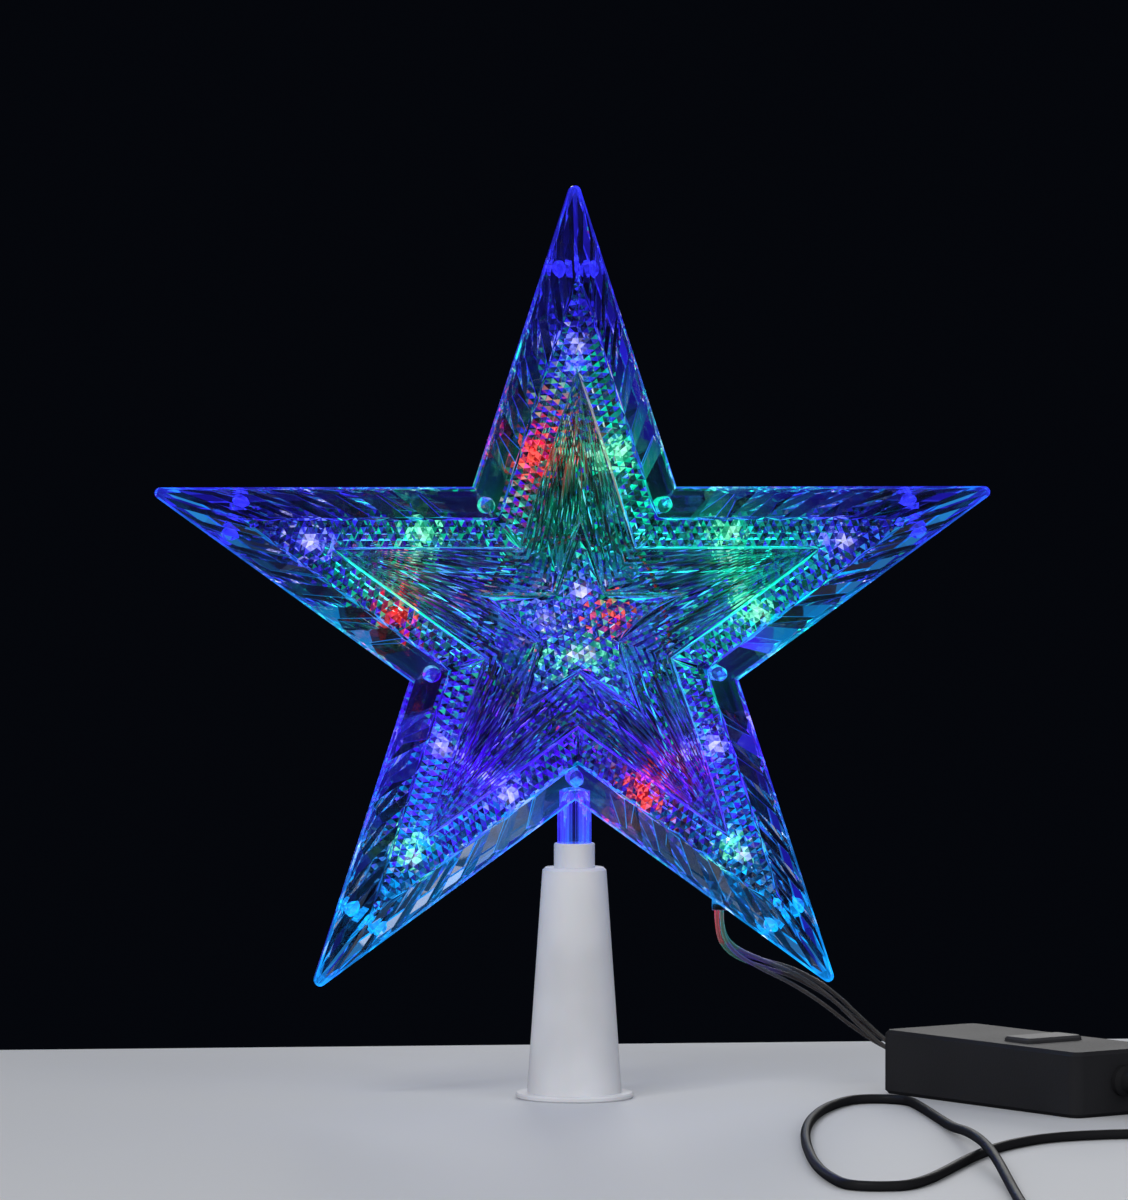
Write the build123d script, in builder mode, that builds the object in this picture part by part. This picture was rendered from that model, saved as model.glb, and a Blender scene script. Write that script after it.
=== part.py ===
"""A lighted five-pointed tree topper: clear star, tree socket, mode box and mains lead.

Millimetres, +Z up, +X to the viewer's right, and the star's front faces -Y.
The origin is the middle of the socket's underside.
"""
import os
from math import cos, hypot, pi, radians, sin, sqrt, tan

from build123d import *

# The star and its five similar outlines, each moved in from the one outside it
ARMS = 5
FIRST_ARM_ANGLE = 90.0
ARM_STEP = 360.0 / ARMS
HALF_TIP_ANGLE = ARM_STEP / 4
NOTCH_ANGLE = ARM_STEP / 2
NOTCH_SHARE = sin(radians(HALF_TIP_ANGLE)) / cos(radians(NOTCH_ANGLE))
STAR_RADIUS = 119.5
TIP_ROUND = 1.5
BORDER_SHARE = 0.066
BAND_SHARE = 0.0695
FAN_SHARE = 0.094
BORDER_WIDTH = BORDER_SHARE * STAR_RADIUS
BAND_WIDTH = BAND_SHARE * STAR_RADIUS
FAN_WIDTH = FAN_SHARE * STAR_RADIUS
CENTRE_BEVEL = 0.9

# Heights of one half above the parting plane
RIM_HEIGHT = 2.4
BAND_HEIGHT = 9.5
FAN_HEIGHT = 9.0
FAN_TOP = 11.0
CENTRE_HEIGHT = 15.0
WALL = 2.0
ROOF_HEIGHT = 7.0
POCKET_HEIGHT = 9.0
CAVITY_SET_IN = 0.8
FAN_WALL = 1.5
POCKET_WALL = 1.9
OVERRUN = 1.0

# Leaf-vein ribs on the border, counted from the notch of a side to its tip
RIBS_PER_SIDE = 6
RIB_INNER_SHARES = (0.087, 0.075)
RIB_OUTER_SHARES = (0.093, 0.0945)
RIB_INNER_START, RIB_INNER_PITCH = (share * STAR_RADIUS for share in RIB_INNER_SHARES)
RIB_OUTER_START, RIB_OUTER_PITCH = (share * STAR_RADIUS for share in RIB_OUTER_SHARES)
RIB_OUTER_INSET = 0.6
RIB_RISE = 1.3
RIB_INNER_OVERLAP = 0.25
RIB_BEVEL_RUN = 2.2
RIB_BEVEL_RISE = 3.4
RIB_VALLEY = 0.12
RIB_SINK = 0.5

# Flutes of a fan, spread from the inner corner of the band
FLUTE_ANGLES = (2.0, 6.0, 10.0, 14.0)
FLUTE_HALF_ANGLE = 1.5
FLUTE_START_SHARE = 0.075
FLUTE_END_SHARE = 0.98
FLUTE_DEPTH_SHARE = 0.018

# Bosses, pins and sockets that join the two halves
BOSS_RADIUS = 2.2
BOSS_SIDES = 12
PIN_SIDES = 8
TIP_BOSS_SHARES = (0.787, 0.0393)
NOTCH_BOSS_SHARE = 0.329
CENTRE_BOSS_SHARE = 0.167
CENTRE_BOSS_SIDE = 2.3
TIP_BOSS_ALONG, TIP_BOSS_SIDE = (share * STAR_RADIUS for share in TIP_BOSS_SHARES)
NOTCH_BOSS_REACH = NOTCH_BOSS_SHARE * STAR_RADIUS
CENTRE_BOSS_REACH = CENTRE_BOSS_SHARE * STAR_RADIUS
SOCKET_RADIUS = 1.2
SOCKET_DEPTH = 2.6
PIN_RADIUS = 1.1
PIN_LENGTH = 2.3

# Tree socket: a flanged cone with a collar
FLANGE_RADIUS = 15.6
FLANGE_THICKNESS = 1.5
CONE_BOTTOM_RADIUS = 12.5
CONE_TOP_RADIUS = 8.4
CONE_HEIGHT = 61.0
COLLAR_RADIUS = 5.4
COLLAR_HEIGHT = CONE_HEIGHT + 6.4
SOCKET_MOUTH_RADIUS = 11.1
SOCKET_TOP_RADIUS = 7.0
SOCKET_ROOF_HEIGHT = CONE_HEIGHT - 3.5
STEM_HOLE_RADIUS = 4.56
STEM_FLOOR_HEIGHT = CONE_HEIGHT - 1.0
CONE_CHAMFER = 0.7
FLANGE_CHAMFER = 0.4
COLLAR_CHAMFER = 0.3

# Stem that goes in the tree socket, and the height at which it holds the star's middle
STEM_RADIUS = 4.5
STEM_BORE_RADIUS = 2.4
STEM_GAP = 0.2
STEM_SHOWN = 11.35
STEM_ROOT = 2.05
STEM_BORE_ROOT = 3.65
STEM_END_HEIGHT = STEM_FLOOR_HEIGHT + STEM_GAP
NOTCH_REACH = NOTCH_SHARE * STAR_RADIUS
STAR_HEIGHT = COLLAR_HEIGHT + STEM_SHOWN + NOTCH_REACH

# Lamps: shares of the star's radius along and across the arm and for the sleeve, and heading
LAMP_FLANGE_RADIUS = 2.9
LAMP_FLANGE = 1.0
LAMP_RADIUS = 2.5
LAMP_LENGTH = 8.6
LAMP_NOSE = 2.0
LAMP_NOSE_RADIUS = 1.3
LAMP_SIDES = 12
SLEEVE_RADIUS = 1.7
LAMP_SHARES = {
    "tip": (0.569, 0.0, 0.105, 0.0),
    "left": (0.3515, 0.096, 0.105, 0.0),
    "right": (0.3515, -0.096, 0.105, 0.0),
    "core": (0.117, 0.0, 0.0837, 180.0),
}
LAMP_COLOURS = {
    "red": [(0, "left"), (1, "left"), (3, "right"), (4, "core")],
    "green": [(0, "right"), (1, "right"), (4, "left"), (4, "right"),
              (2, "tip"), (3, "tip"), (2, "core"), (3, "core")],
    "blue": [(0, "tip"), (1, "tip"), (4, "tip"), (2, "left"),
             (2, "right"), (3, "left"), (0, "core"), (1, "core")],
}
BLADE_LENGTH = 3.0
BLADE_THICKNESS = 1.2
BLADE_REACH = 4.0
BLADE_SIDE = 3.2
BLADE_PAST_MIDDLE = 1.6
ARM_BLADE_TOP = 7.6
CORE_BLADE_TOP = 13.4

# Lamp wiring inside the star
WIRE_RADIUS = 0.6
WIRE_SIDES = 4
LOOP_BEND = 3.0
LOOP_TIP_SHARE = 0.519
LOOP_NOTCH_SHARE = 0.209
CORE_LOOP_SHARE = 0.198
CORE_LOOP_RADIUS = CORE_LOOP_SHARE * STAR_RADIUS

# Lead from the star to the mode box
OUTLET_SHARE = 0.322
OUTLET_X = OUTLET_SHARE * STAR_RADIUS
OUTLET_HEIGHT = STAR_HEIGHT - NOTCH_REACH - OUTLET_X * tan(radians(NOTCH_ANGLE))
OUTLET_RADIUS = 1.95
BUSH_RADIUS = 1.9
BUSH_BOTTOM = OUTLET_HEIGHT - 1.5
BUSH_TOP = OUTLET_HEIGHT + 7.2
TAIL_RADIUS = 1.2
TAIL_START = 2.6
TAIL_SHARES = [(0.2996, -0.5), (0.261, -0.447), (0.2285, -0.378)]
LEAD_RADIUS = 1.7
LEAD_DROP = 6.3
LEAD_POINTS = [
    (42.5, 2.0, 38.0), (50.5, 5.5, 34.5), (60.0, 10.5, 31.0), (70.0, 17.0, 25.0), (79.0, 22.5, 17.0),
    (86.5, 24.3, 11.0),
]

# Mode box
BOX_PLACE = (116.0, -24.0, 0.0)
BOX_TURN = -60.0
BOX_LENGTH = 80.0
BOX_WIDTH = 32.0
BOX_HEIGHT = 17.0
BOX_SPLIT = 9.0
BOX_WALL = 1.8
BOX_CORNER = 3.0
BOX_EDGE = 1.0
COLUMN_INSET = 5.0
COLUMN_X = BOX_LENGTH / 2 - COLUMN_INSET
COLUMN_Y = BOX_WIDTH / 2 - COLUMN_INSET
COLUMN_RADIUS = 2.6
BOARD_LENGTH = BOX_LENGTH - 24.0
BOARD_WIDTH = BOX_WIDTH - 6.0
BOARD_THICKNESS = 1.6
BOARD_HEIGHT = 5.0
BOARD_POST_X = BOARD_LENGTH / 2 - 4.0
BOARD_POST_Y = BOARD_WIDTH / 2 - 3.0
BOARD_POST_RADIUS = 1.5
CHIP_X = -12.0
CHIP_LENGTH = 9.0
CHIP_WIDTH = 6.0
CHIP_HEIGHT = 2.2
CAPACITOR_X = BOARD_LENGTH / 2 - 6.0
CAPACITOR_Y = -4.0
CAPACITOR_RADIUS = 3.2
CAPACITOR_HEIGHT = 7.0
DRIVER_X = 5.0 - BOARD_LENGTH / 2
DRIVER_PITCH = 5.6
DRIVER_RADIUS = 2.3
DRIVER_FLAT = 1.2
DRIVER_HEIGHT = 4.6
DRIVERS = 4

# Mode button and the small switch below it
BUTTON_X = 8.0
SWITCH_SIZE = 6.2
SWITCH_HEIGHT = 3.5
SWITCH_BORE = 1.8
SWITCH_BORE_DEPTH = 1.6
PLUNGER_RADIUS = 1.7
SWITCH_TOP = BOARD_HEIGHT + BOARD_THICKNESS + SWITCH_HEIGHT
PLUNGER_BOTTOM = SWITCH_TOP - 0.6
PLUNGER_TOP = SWITCH_TOP + 1.2
BUTTON_LENGTH = 11.0
BUTTON_WIDTH = 19.0
BUTTON_CORNER = 2.0
BUTTON_GAP = 0.2
BUTTON_TOP = BOX_HEIGHT + 1.2
BUTTON_CHAMFER = 0.6
LEDGE_OVERHANG = 1.0
LEDGE_TOP = BOX_HEIGHT - BOX_WALL - 0.1
LEDGE_BOTTOM = LEDGE_TOP - 1.2
BUTTON_STEM_RADIUS = 2.0
BUTTON_STEM_GAP = 0.05

# Strain reliefs at the ends of the box
GLAND_RADIUS = 3.0
GLAND_PLAY = 0.05
GLAND_COLLAR_RADIUS = 4.0
GLAND_COLLAR = 1.5
LEAD_GLAND_REACH = 6.0
MAINS_GLAND_REACH = 20.0
MAINS_GLAND_TAIL_RADIUS = 1.9
GLAND_SHOULDER = 2.5
LEAD_STRAIGHT = 4.0
MAINS_STRAIGHT = 5.0

# Mains lead, its coil and its tie. Cords and sleeves have few sides, to keep their meshes light.
CORD_SIDES = 6
BEND_SHARE = 0.45
CORD_RADIUS = 1.25
MAINS_POINTS = [
    (151.5, -87.5, 6.4), (152.0, -97.5, 2.6),
    (147.0, -107.5, 1.3), (136.0, -112.8, 1.3), (120.5, -113.5, 1.3), (106.0, -119.0, 1.3),
    (95.0, -131.0, 1.3), (86.0, -146.5, 1.3), (77.6, -165.5, 1.3), (69.6, -186.5, 1.3),
    (62.8, -203.4, 1.3), (56.3, -215.0, 1.3), (51.0, -217.4, 1.3), (45.3, -216.2, 1.3),
    (41.4, -211.8, 1.3), (40.3, -201.0, 1.3), (39.8, -186.0, 1.3), (40.4, -168.0, 1.3),
    (42.0, -148.0, 1.3), (44.4, -124.0, 1.3), (47.9, -98.0, 1.3), (52.6, -73.3, 1.3),
    (58.0, -52.7, 1.3), (63.6, -37.1, 1.3), (69.5, -26.1, 1.3), (75.0, -23.5, 1.3),
    (81.0, -24.9, 1.3), (84.9, -29.6, 1.3), (85.4, -40.0, 1.3), (85.7, -58.0, 1.3),
    (85.8, -78.0, 1.3), (85.3, -100.0, 1.3), (84.5, -122.0, 1.3), (83.6, -143.0, 4.6),
    (83.2, -161.0, 4.6), (82.4, -182.0, 1.3), (80.5, -208.0, 1.3), (77.6, -238.0, 1.3),
    (75.0, -266.0, 1.3),
]
COIL_APPROACH = 23.5
COIL_CENTRE = (95.0, -316.0)
COIL_FIRST_ANGLE = 180.0
COIL_OUTER = 20.6
COIL_PITCH = 3.2
TURNS_IN = 3.5
TURNS_OUT = 3.75
CLIMB_TURNS = 0.5
ARCS_PER_TURN = 4
COIL_LIFT = 2.1
COIL_LAYER = 3.1
GAP_SAMPLES = 700
GAP_APART = 12.0
TIE_ANGLE = 45.0
TIE_WIDTH = 4.0
TIE_STRIP = 0.6
TIE_GAP = 0.5
PLUG_POINTS = [(108.5, -337.2, 6.0)]
PLUG_STRAIGHT = 4.5

# Two-pin plug
PLUG_TAIL_X = 119.0
PLUG_Y = -337.0
PLUG_FACE_WIDTH = 35.0
PLUG_FACE_HEIGHT = 13.6
PLUG_REAR_WIDTH = 15.0
PLUG_REAR_HEIGHT = 11.0
PLUG_CORNER = 3.5
PLUG_BODY_LENGTH = 30.0
PLUG_FACE_LENGTH = 5.0
PLUG_TAIL_LENGTH = 20.0
PLUG_TAIL_ROOT = 3.6
PLUG_TAIL_END = 1.9
PLUG_HEIGHT = 6.8
PRONG_RADIUS = 2.0
PRONG_SPACING = 19.0
PRONG_LENGTH = 19.0
PRONG_SLEEVE_LENGTH = 9.0
PRONG_SLEEVE_RADIUS = 1.9
PRONG_CORE_RADIUS = 1.5
PRONG_ROOT = 5.0
PRONG_PLAY = 0.05
PRONG_CHAMFER = 0.9

FRONT = Plane((0, 0, STAR_HEIGHT), x_dir=(1, 0, 0), z_dir=(0, -1, 0))
BACK = Plane((0, 0, STAR_HEIGHT), x_dir=(-1, 0, 0), z_dir=(0, 1, 0))
BOX_DIR = (cos(radians(BOX_TURN)), sin(radians(BOX_TURN)), 0)
BOX = Plane(BOX_PLACE, x_dir=BOX_DIR, z_dir=(0, 0, 1))

os.makedirs("parts", exist_ok=True)


def hand_in(piece, node):
    piece.part.label = node
    export_step(piece.part, f"parts/{node}.step")


def star_tip(inset):
    return STAR_RADIUS - inset / sin(radians(HALF_TIP_ANGLE))


def star_corners(tip, notch):
    corners = []
    for step in range(2 * ARMS):
        reach = notch if step % 2 else tip
        turn = radians(FIRST_ARM_ANGLE + step * ARM_STEP / 2)
        corners.append((reach * cos(turn), reach * sin(turn)))
    return corners


def star_outline(inset):
    tip = star_tip(inset)
    return Polygon(*star_corners(tip, tip * NOTCH_SHARE), align=None)


def on_arm(arm, along, side):
    turn = radians(FIRST_ARM_ANGLE + arm * ARM_STEP)
    return (along * cos(turn) - side * sin(turn), along * sin(turn) + side * cos(turn))


def lamp_layout(place):
    *shares, heading = LAMP_SHARES[place]
    return (*(share * STAR_RADIUS for share in shares), heading)


def border_height(inset):
    return RIM_HEIGHT + (BAND_HEIGHT - RIM_HEIGHT) * inset / BORDER_WIDTH


def bend_radii(points):
    """The largest radius for each corner that leaves a tenth of every run straight."""
    radii = []
    for before, here, after in zip(points, points[1:], points[2:]):
        run_in, run_out = Vector(*here) - Vector(*before), Vector(*after) - Vector(*here)
        half_turn = radians(run_in.get_angle(run_out)) / 2
        radii.append(BEND_SHARE * min(run_in.length, run_out.length) / tan(half_turn))
    return radii


def flat_loft(mode=Mode.ADD):
    """A loft of two similar outlines, with plane faces in place of ruled ones."""
    ruled = loft(ruled=True, mode=Mode.PRIVATE)
    add(Solid(Shell([Face(face.outer_wire()) for face in ruled.faces()])), mode=mode)


def tube(points, radius):
    """One tube of straight runs and tangent arcs, with its bends and volume printed."""
    radii = bend_radii(points)
    with BuildPart() as made:
        with BuildLine() as route:
            FilletPolyline(*points, radius=radii)
        path = route.wires()[0]
        with BuildSketch(Plane(path @ 0, z_dir=path % 0)) as section:
            RegularPolygon(radius, CORD_SIDES)
        sweep(path=path)
    ideal = section.sketch.area * path.length
    print(f"tube {path.length:.1f} long, least bend {min(radii):.1f}, "
          f"volume over section x length {made.part.volume / ideal:.4f}")
    return made


# Half of the star, lying face up on its parting plane. Both shells start from it.
pin_points, plain_points = [], []
for arm in range(ARMS):
    notch_turn = radians(FIRST_ARM_ANGLE + NOTCH_ANGLE + arm * ARM_STEP)
    across = (-sin(notch_turn), cos(notch_turn))
    pin_points += [on_arm(arm, TIP_BOSS_ALONG, side) for side in (TIP_BOSS_SIDE, -TIP_BOSS_SIDE)]
    pin_points.append((NOTCH_BOSS_REACH * cos(notch_turn), NOTCH_BOSS_REACH * sin(notch_turn)))
    for side in (CENTRE_BOSS_SIDE, -CENTRE_BOSS_SIDE):
        plain_points.append((CENTRE_BOSS_REACH * cos(notch_turn) + side * across[0],
                             CENTRE_BOSS_REACH * sin(notch_turn) + side * across[1]))

band_inset = BORDER_WIDTH + BAND_WIDTH
centre_inset = band_inset + FAN_WIDTH

# One side's ribs, on an arm that points along +X, then mirrored to its other side
edge = (cos(radians(HALF_TIP_ANGLE)), -sin(radians(HALF_TIP_ANGLE)), 0)
inward = (-sin(radians(HALF_TIP_ANGLE)), -cos(radians(HALF_TIP_ANGLE)), 0)


def edge_plane(inset):
    notch = star_tip(inset) * NOTCH_SHARE
    corner = (notch * cos(radians(NOTCH_ANGLE)), notch * sin(radians(NOTCH_ANGLE)), 0)
    return Plane(corner, x_dir=edge, z_dir=inward)


with BuildPart() as arm_ribs:
    for inset, start, pitch in (
        (BORDER_WIDTH + RIB_INNER_OVERLAP, RIB_INNER_START, RIB_INNER_PITCH),
        (RIB_OUTER_INSET, RIB_OUTER_START, RIB_OUTER_PITCH),
    ):
        level, grown = border_height(min(inset, BORDER_WIDTH)), pitch / RIB_INNER_PITCH
        low, valley, ridge = level - RIB_SINK * grown, level + RIB_VALLEY * grown, level + RIB_RISE * grown
        sawtooth = [(start, low), (start, valley)]
        for rib in range(RIBS_PER_SIDE):
            sawtooth += [(start + (rib + 1 / 2) * pitch, ridge), (start + (rib + 1) * pitch, valley)]
        sawtooth.append((start + RIBS_PER_SIDE * pitch, low))
        with BuildSketch(edge_plane(inset)):
            Polygon(*sawtooth, align=None)
    flat_loft()
    with BuildSketch(Plane(edge_plane(0).origin, x_dir=inward, z_dir=edge)):
        Polygon((-RIB_BEVEL_RUN, RIM_HEIGHT - RIB_BEVEL_RISE), (-RIB_BEVEL_RUN, RIM_HEIGHT + RIB_BEVEL_RISE),
                (RIB_BEVEL_RUN, RIM_HEIGHT + RIB_BEVEL_RISE), align=None)
    extrude(amount=STAR_RADIUS, mode=Mode.SUBTRACT)
    mirror(about=Plane.XZ)

# The flutes of one fan, cut as wedges that widen away from the band's inner corner
apex = star_tip(band_inset)
with BuildPart() as arm_flutes:
    for angle in FLUTE_ANGLES:
        turn = radians(angle)
        line_slope = tan(radians(NOTCH_ANGLE))
        far = FLUTE_END_SHARE * apex * line_slope / (sin(turn) + cos(turn) * line_slope)
        climb = (FAN_TOP - FAN_HEIGHT) / FAN_WIDTH * sin(radians(HALF_TIP_ANGLE - angle))
        for distance in (FLUTE_START_SHARE * STAR_RADIUS, far):
            middle = (apex - distance * cos(turn), distance * sin(turn), FAN_HEIGHT + climb * distance)
            half = 2 * distance * tan(radians(FLUTE_HALF_ANGLE))
            deep = FLUTE_DEPTH_SHARE * distance
            with BuildSketch(Plane(middle, x_dir=(-sin(turn), -cos(turn), 0),
                                   z_dir=(-cos(turn), sin(turn), 0))):
                Polygon((-half, deep), (0, -deep), (half, deep), align=None)
        flat_loft()
    mirror(about=Plane.XZ)

with BuildPart() as cavity:
    with BuildSketch():
        star_outline(WALL)
    with BuildSketch(Plane.XY.offset(ROOF_HEIGHT)):
        star_outline(BORDER_WIDTH + CAVITY_SET_IN)
    flat_loft()
    with BuildSketch(Plane.XY.offset(ROOF_HEIGHT)):
        star_outline(band_inset + FAN_WALL)
    with BuildSketch(Plane.XY.offset(POCKET_HEIGHT)):
        star_outline(centre_inset)
    flat_loft()
    with BuildSketch(Plane.XY.offset(POCKET_HEIGHT)):
        star_outline(centre_inset + POCKET_WALL)
    extrude(amount=CENTRE_HEIGHT - WALL - POCKET_HEIGHT)
    with BuildSketch():
        with Locations(*pin_points, *plain_points):
            RegularPolygon(BOSS_RADIUS, BOSS_SIDES)
    extrude(amount=CENTRE_HEIGHT, mode=Mode.SUBTRACT)

stem_end = STEM_END_HEIGHT - STAR_HEIGHT
stem_plane = Plane((0, stem_end, 0), x_dir=(1, 0, 0), z_dir=(0, 1, 0))

with BuildPart() as star_half:
    with BuildSketch():
        star_outline(0)
    extrude(amount=RIM_HEIGHT)
    with BuildSketch(Plane.XY.offset(RIM_HEIGHT)):
        star_outline(0)
    with BuildSketch(Plane.XY.offset(BAND_HEIGHT)):
        star_outline(BORDER_WIDTH)
    flat_loft()
    with PolarLocations(0, ARMS, start_angle=FIRST_ARM_ANGLE):
        add(arm_ribs.part)
    with BuildSketch(Plane.XY.offset(FAN_HEIGHT)):
        star_outline(band_inset)
    extrude(amount=BAND_HEIGHT - FAN_HEIGHT, mode=Mode.SUBTRACT)
    with BuildSketch(Plane.XY.offset(FAN_HEIGHT)):
        star_outline(band_inset)
    with BuildSketch(Plane.XY.offset(FAN_TOP)):
        star_outline(centre_inset)
    flat_loft()
    with PolarLocations(0, ARMS, start_angle=FIRST_ARM_ANGLE):
        add(arm_flutes.part, mode=Mode.SUBTRACT)
    with BuildSketch(Plane.XY.offset(FAN_HEIGHT)):
        star_outline(centre_inset)
    with BuildSketch(Plane.XY.offset(CENTRE_HEIGHT)):
        star_outline(centre_inset + CENTRE_BEVEL)
    flat_loft()
    with BuildSketch() as round_star:
        star_outline(0)
        tips = [v for v in round_star.vertices() if hypot(v.X, v.Y) > star_tip(0) / 2]
        fillet(tips, TIP_ROUND)
    extrude(amount=CENTRE_HEIGHT + OVERRUN, mode=Mode.INTERSECT)
    with BuildSketch(stem_plane):
        Circle(STEM_RADIUS)
    extrude(amount=-stem_end - NOTCH_REACH + STEM_ROOT)
    add(cavity.part, mode=Mode.SUBTRACT)
    with BuildSketch(stem_plane):
        Circle(STEM_BORE_RADIUS)
    extrude(amount=-stem_end - NOTCH_REACH + STEM_BORE_ROOT, mode=Mode.SUBTRACT)
    split(bisect_by=Plane.XY, keep=Keep.TOP)

# Front shell: sockets in its bosses
with BuildPart(FRONT) as front_shell:
    add(star_half.part)
    with BuildSketch(FRONT):
        with Locations(*pin_points):
            RegularPolygon(SOCKET_RADIUS, PIN_SIDES)
    extrude(amount=SOCKET_DEPTH, mode=Mode.SUBTRACT)
    with BuildSketch(Plane.XY.offset(BUSH_BOTTOM)):
        with Locations((OUTLET_X, 0)):
            Circle(OUTLET_RADIUS)
    extrude(amount=BUSH_TOP - BUSH_BOTTOM + OVERRUN, mode=Mode.SUBTRACT)
hand_in(front_shell, "front_shell")


# Back shell: pins on its bosses, and a pair of blades that grips each lamp
def blade_spots(arm, place):
    along, side, _, heading = lamp_layout(place)
    reach, turn = along + BLADE_REACH * cos(radians(heading)), FIRST_ARM_ANGLE - arm * ARM_STEP
    return [Location((*on_arm(-arm, reach, side + step), 0), (0, 0, turn)) for step in (BLADE_SIDE, -BLADE_SIDE)]


with BuildPart(BACK) as back_shell:
    add(star_half.part)
    with BuildSketch(BACK.offset(OVERRUN)):
        with Locations(*pin_points):
            RegularPolygon(PIN_RADIUS, PIN_SIDES)
    extrude(amount=-PIN_LENGTH - OVERRUN)
    for place in LAMP_SHARES:
        with BuildSketch(BACK.offset(-BLADE_PAST_MIDDLE)):
            for arm in range(ARMS):
                with Locations(*blade_spots(arm, place)):
                    Rectangle(BLADE_LENGTH, BLADE_THICKNESS)
        extrude(amount=BLADE_PAST_MIDDLE + (CORE_BLADE_TOP if place == "core" else ARM_BLADE_TOP))
    with BuildSketch(Plane.XY.offset(BUSH_BOTTOM)):
        with Locations((OUTLET_X, 0)):
            Circle(OUTLET_RADIUS)
    extrude(amount=BUSH_TOP - BUSH_BOTTOM + OVERRUN, mode=Mode.SUBTRACT)
hand_in(back_shell, "back_shell")

# Tree socket
with BuildPart() as tree_socket:
    with BuildSketch(Plane.XZ):
        Polygon((0, 0), (FLANGE_RADIUS, 0), (FLANGE_RADIUS, FLANGE_THICKNESS),
                (CONE_BOTTOM_RADIUS, FLANGE_THICKNESS), (CONE_TOP_RADIUS, CONE_HEIGHT),
                (COLLAR_RADIUS, CONE_HEIGHT), (COLLAR_RADIUS, COLLAR_HEIGHT), (0, COLLAR_HEIGHT),
                align=None)
    revolve(axis=Axis.Z)
    chamfer(tree_socket.edges().filter_by(
        lambda e: abs(e.length - 2 * pi * CONE_TOP_RADIUS) < TIP_ROUND), CONE_CHAMFER)
    chamfer(tree_socket.edges().filter_by(
        lambda e: abs(e.length - 2 * pi * FLANGE_RADIUS) < TIP_ROUND), FLANGE_CHAMFER)
    with BuildSketch(Plane.XZ):
        Polygon((0, 0), (SOCKET_MOUTH_RADIUS, 0), (SOCKET_TOP_RADIUS, SOCKET_ROOF_HEIGHT),
                (0, SOCKET_ROOF_HEIGHT), align=None)
    revolve(axis=Axis.Z, mode=Mode.SUBTRACT)
    with BuildSketch(Plane.XY.offset(STEM_FLOOR_HEIGHT)):
        Circle(STEM_HOLE_RADIUS)
    extrude(amount=COLLAR_HEIGHT - STEM_FLOOR_HEIGHT, mode=Mode.SUBTRACT)
    chamfer(tree_socket.edges().group_by(Axis.Z)[-1].sort_by(SortBy.LENGTH)[-1], COLLAR_CHAMFER)
hand_in(tree_socket, "tree_socket")

# Lamps: a flanged barrel with a tapered nose, repeated by colour, each with a sleeve over its joints
with BuildPart() as lamp:
    with BuildSketch(Plane.YZ):
        RegularPolygon(LAMP_FLANGE_RADIUS, LAMP_SIDES)
    extrude(amount=LAMP_FLANGE)
    with BuildSketch(Plane.YZ):
        RegularPolygon(LAMP_RADIUS, LAMP_SIDES)
    extrude(amount=LAMP_LENGTH - LAMP_NOSE)
    with BuildSketch(Plane.YZ.offset(LAMP_LENGTH - LAMP_NOSE)):
        RegularPolygon(LAMP_RADIUS, LAMP_SIDES)
    with BuildSketch(Plane.YZ.offset(LAMP_LENGTH)):
        RegularPolygon(LAMP_NOSE_RADIUS, LAMP_SIDES)
    flat_loft()


def lamp_spot(arm, place):
    along, side, _, heading = lamp_layout(place)
    return Location((*on_arm(arm, along, side), 0), (0, 0, FIRST_ARM_ANGLE + arm * ARM_STEP + heading))


for colour, spots in LAMP_COLOURS.items():
    with BuildPart(FRONT) as lamps:
        with Locations(*[lamp_spot(arm, place) for arm, place in spots]):
            add(lamp.part)
    hand_in(lamps, f"{colour}_lamps")

for name, lamp_names in (("arm_lamp_sleeves", ("tip", "left", "right")), ("core_lamp_sleeves", ("core",))):
    with BuildPart(FRONT) as sleeves:
        for place in lamp_names:
            with BuildPart(mode=Mode.PRIVATE) as sleeve:
                with BuildSketch(Plane.YZ):
                    RegularPolygon(SLEEVE_RADIUS, CORD_SIDES)
                _, _, sleeve_length, _ = lamp_layout(place)
                extrude(amount=-sleeve_length)
            with Locations(*[lamp_spot(arm, place) for arm in range(ARMS)]):
                add(sleeve.part)
    hand_in(sleeves, name)

# Wiring: a star-shaped loop past the arm lamps and a ring past the core lamps
loop_corners = [FRONT.from_local_coords((x, y, 0)) for x, y in star_corners(LOOP_TIP_SHARE * STAR_RADIUS, LOOP_NOTCH_SHARE * STAR_RADIUS)]
with BuildPart() as arm_wiring:
    with BuildLine() as loop_route:
        FilletPolyline(*loop_corners, radius=LOOP_BEND, close=True)
    loop = loop_route.wires()[0]
    with BuildSketch(Plane(loop @ 0, z_dir=loop % 0)):
        RegularPolygon(WIRE_RADIUS, WIRE_SIDES)
    sweep(path=loop)
hand_in(arm_wiring, "arm_wiring")

with BuildPart() as core_wiring:
    with BuildSketch(Plane.XY.offset(STAR_HEIGHT)):
        with Locations((CORE_LOOP_RADIUS, 0)):
            RegularPolygon(WIRE_RADIUS, WIRE_SIDES)
    revolve(axis=Axis(FRONT.origin, FRONT.z_dir))
hand_in(core_wiring, "core_wiring")

tail_route = [(OUTLET_X, 0, BUSH_TOP), (OUTLET_X, 0, BUSH_TOP + TAIL_START)]
tail_route += [(x * STAR_RADIUS, 0, STAR_HEIGHT + y * STAR_RADIUS) for x, y in TAIL_SHARES]
hand_in(tube(tail_route, TAIL_RADIUS), "lead_tail")

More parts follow.
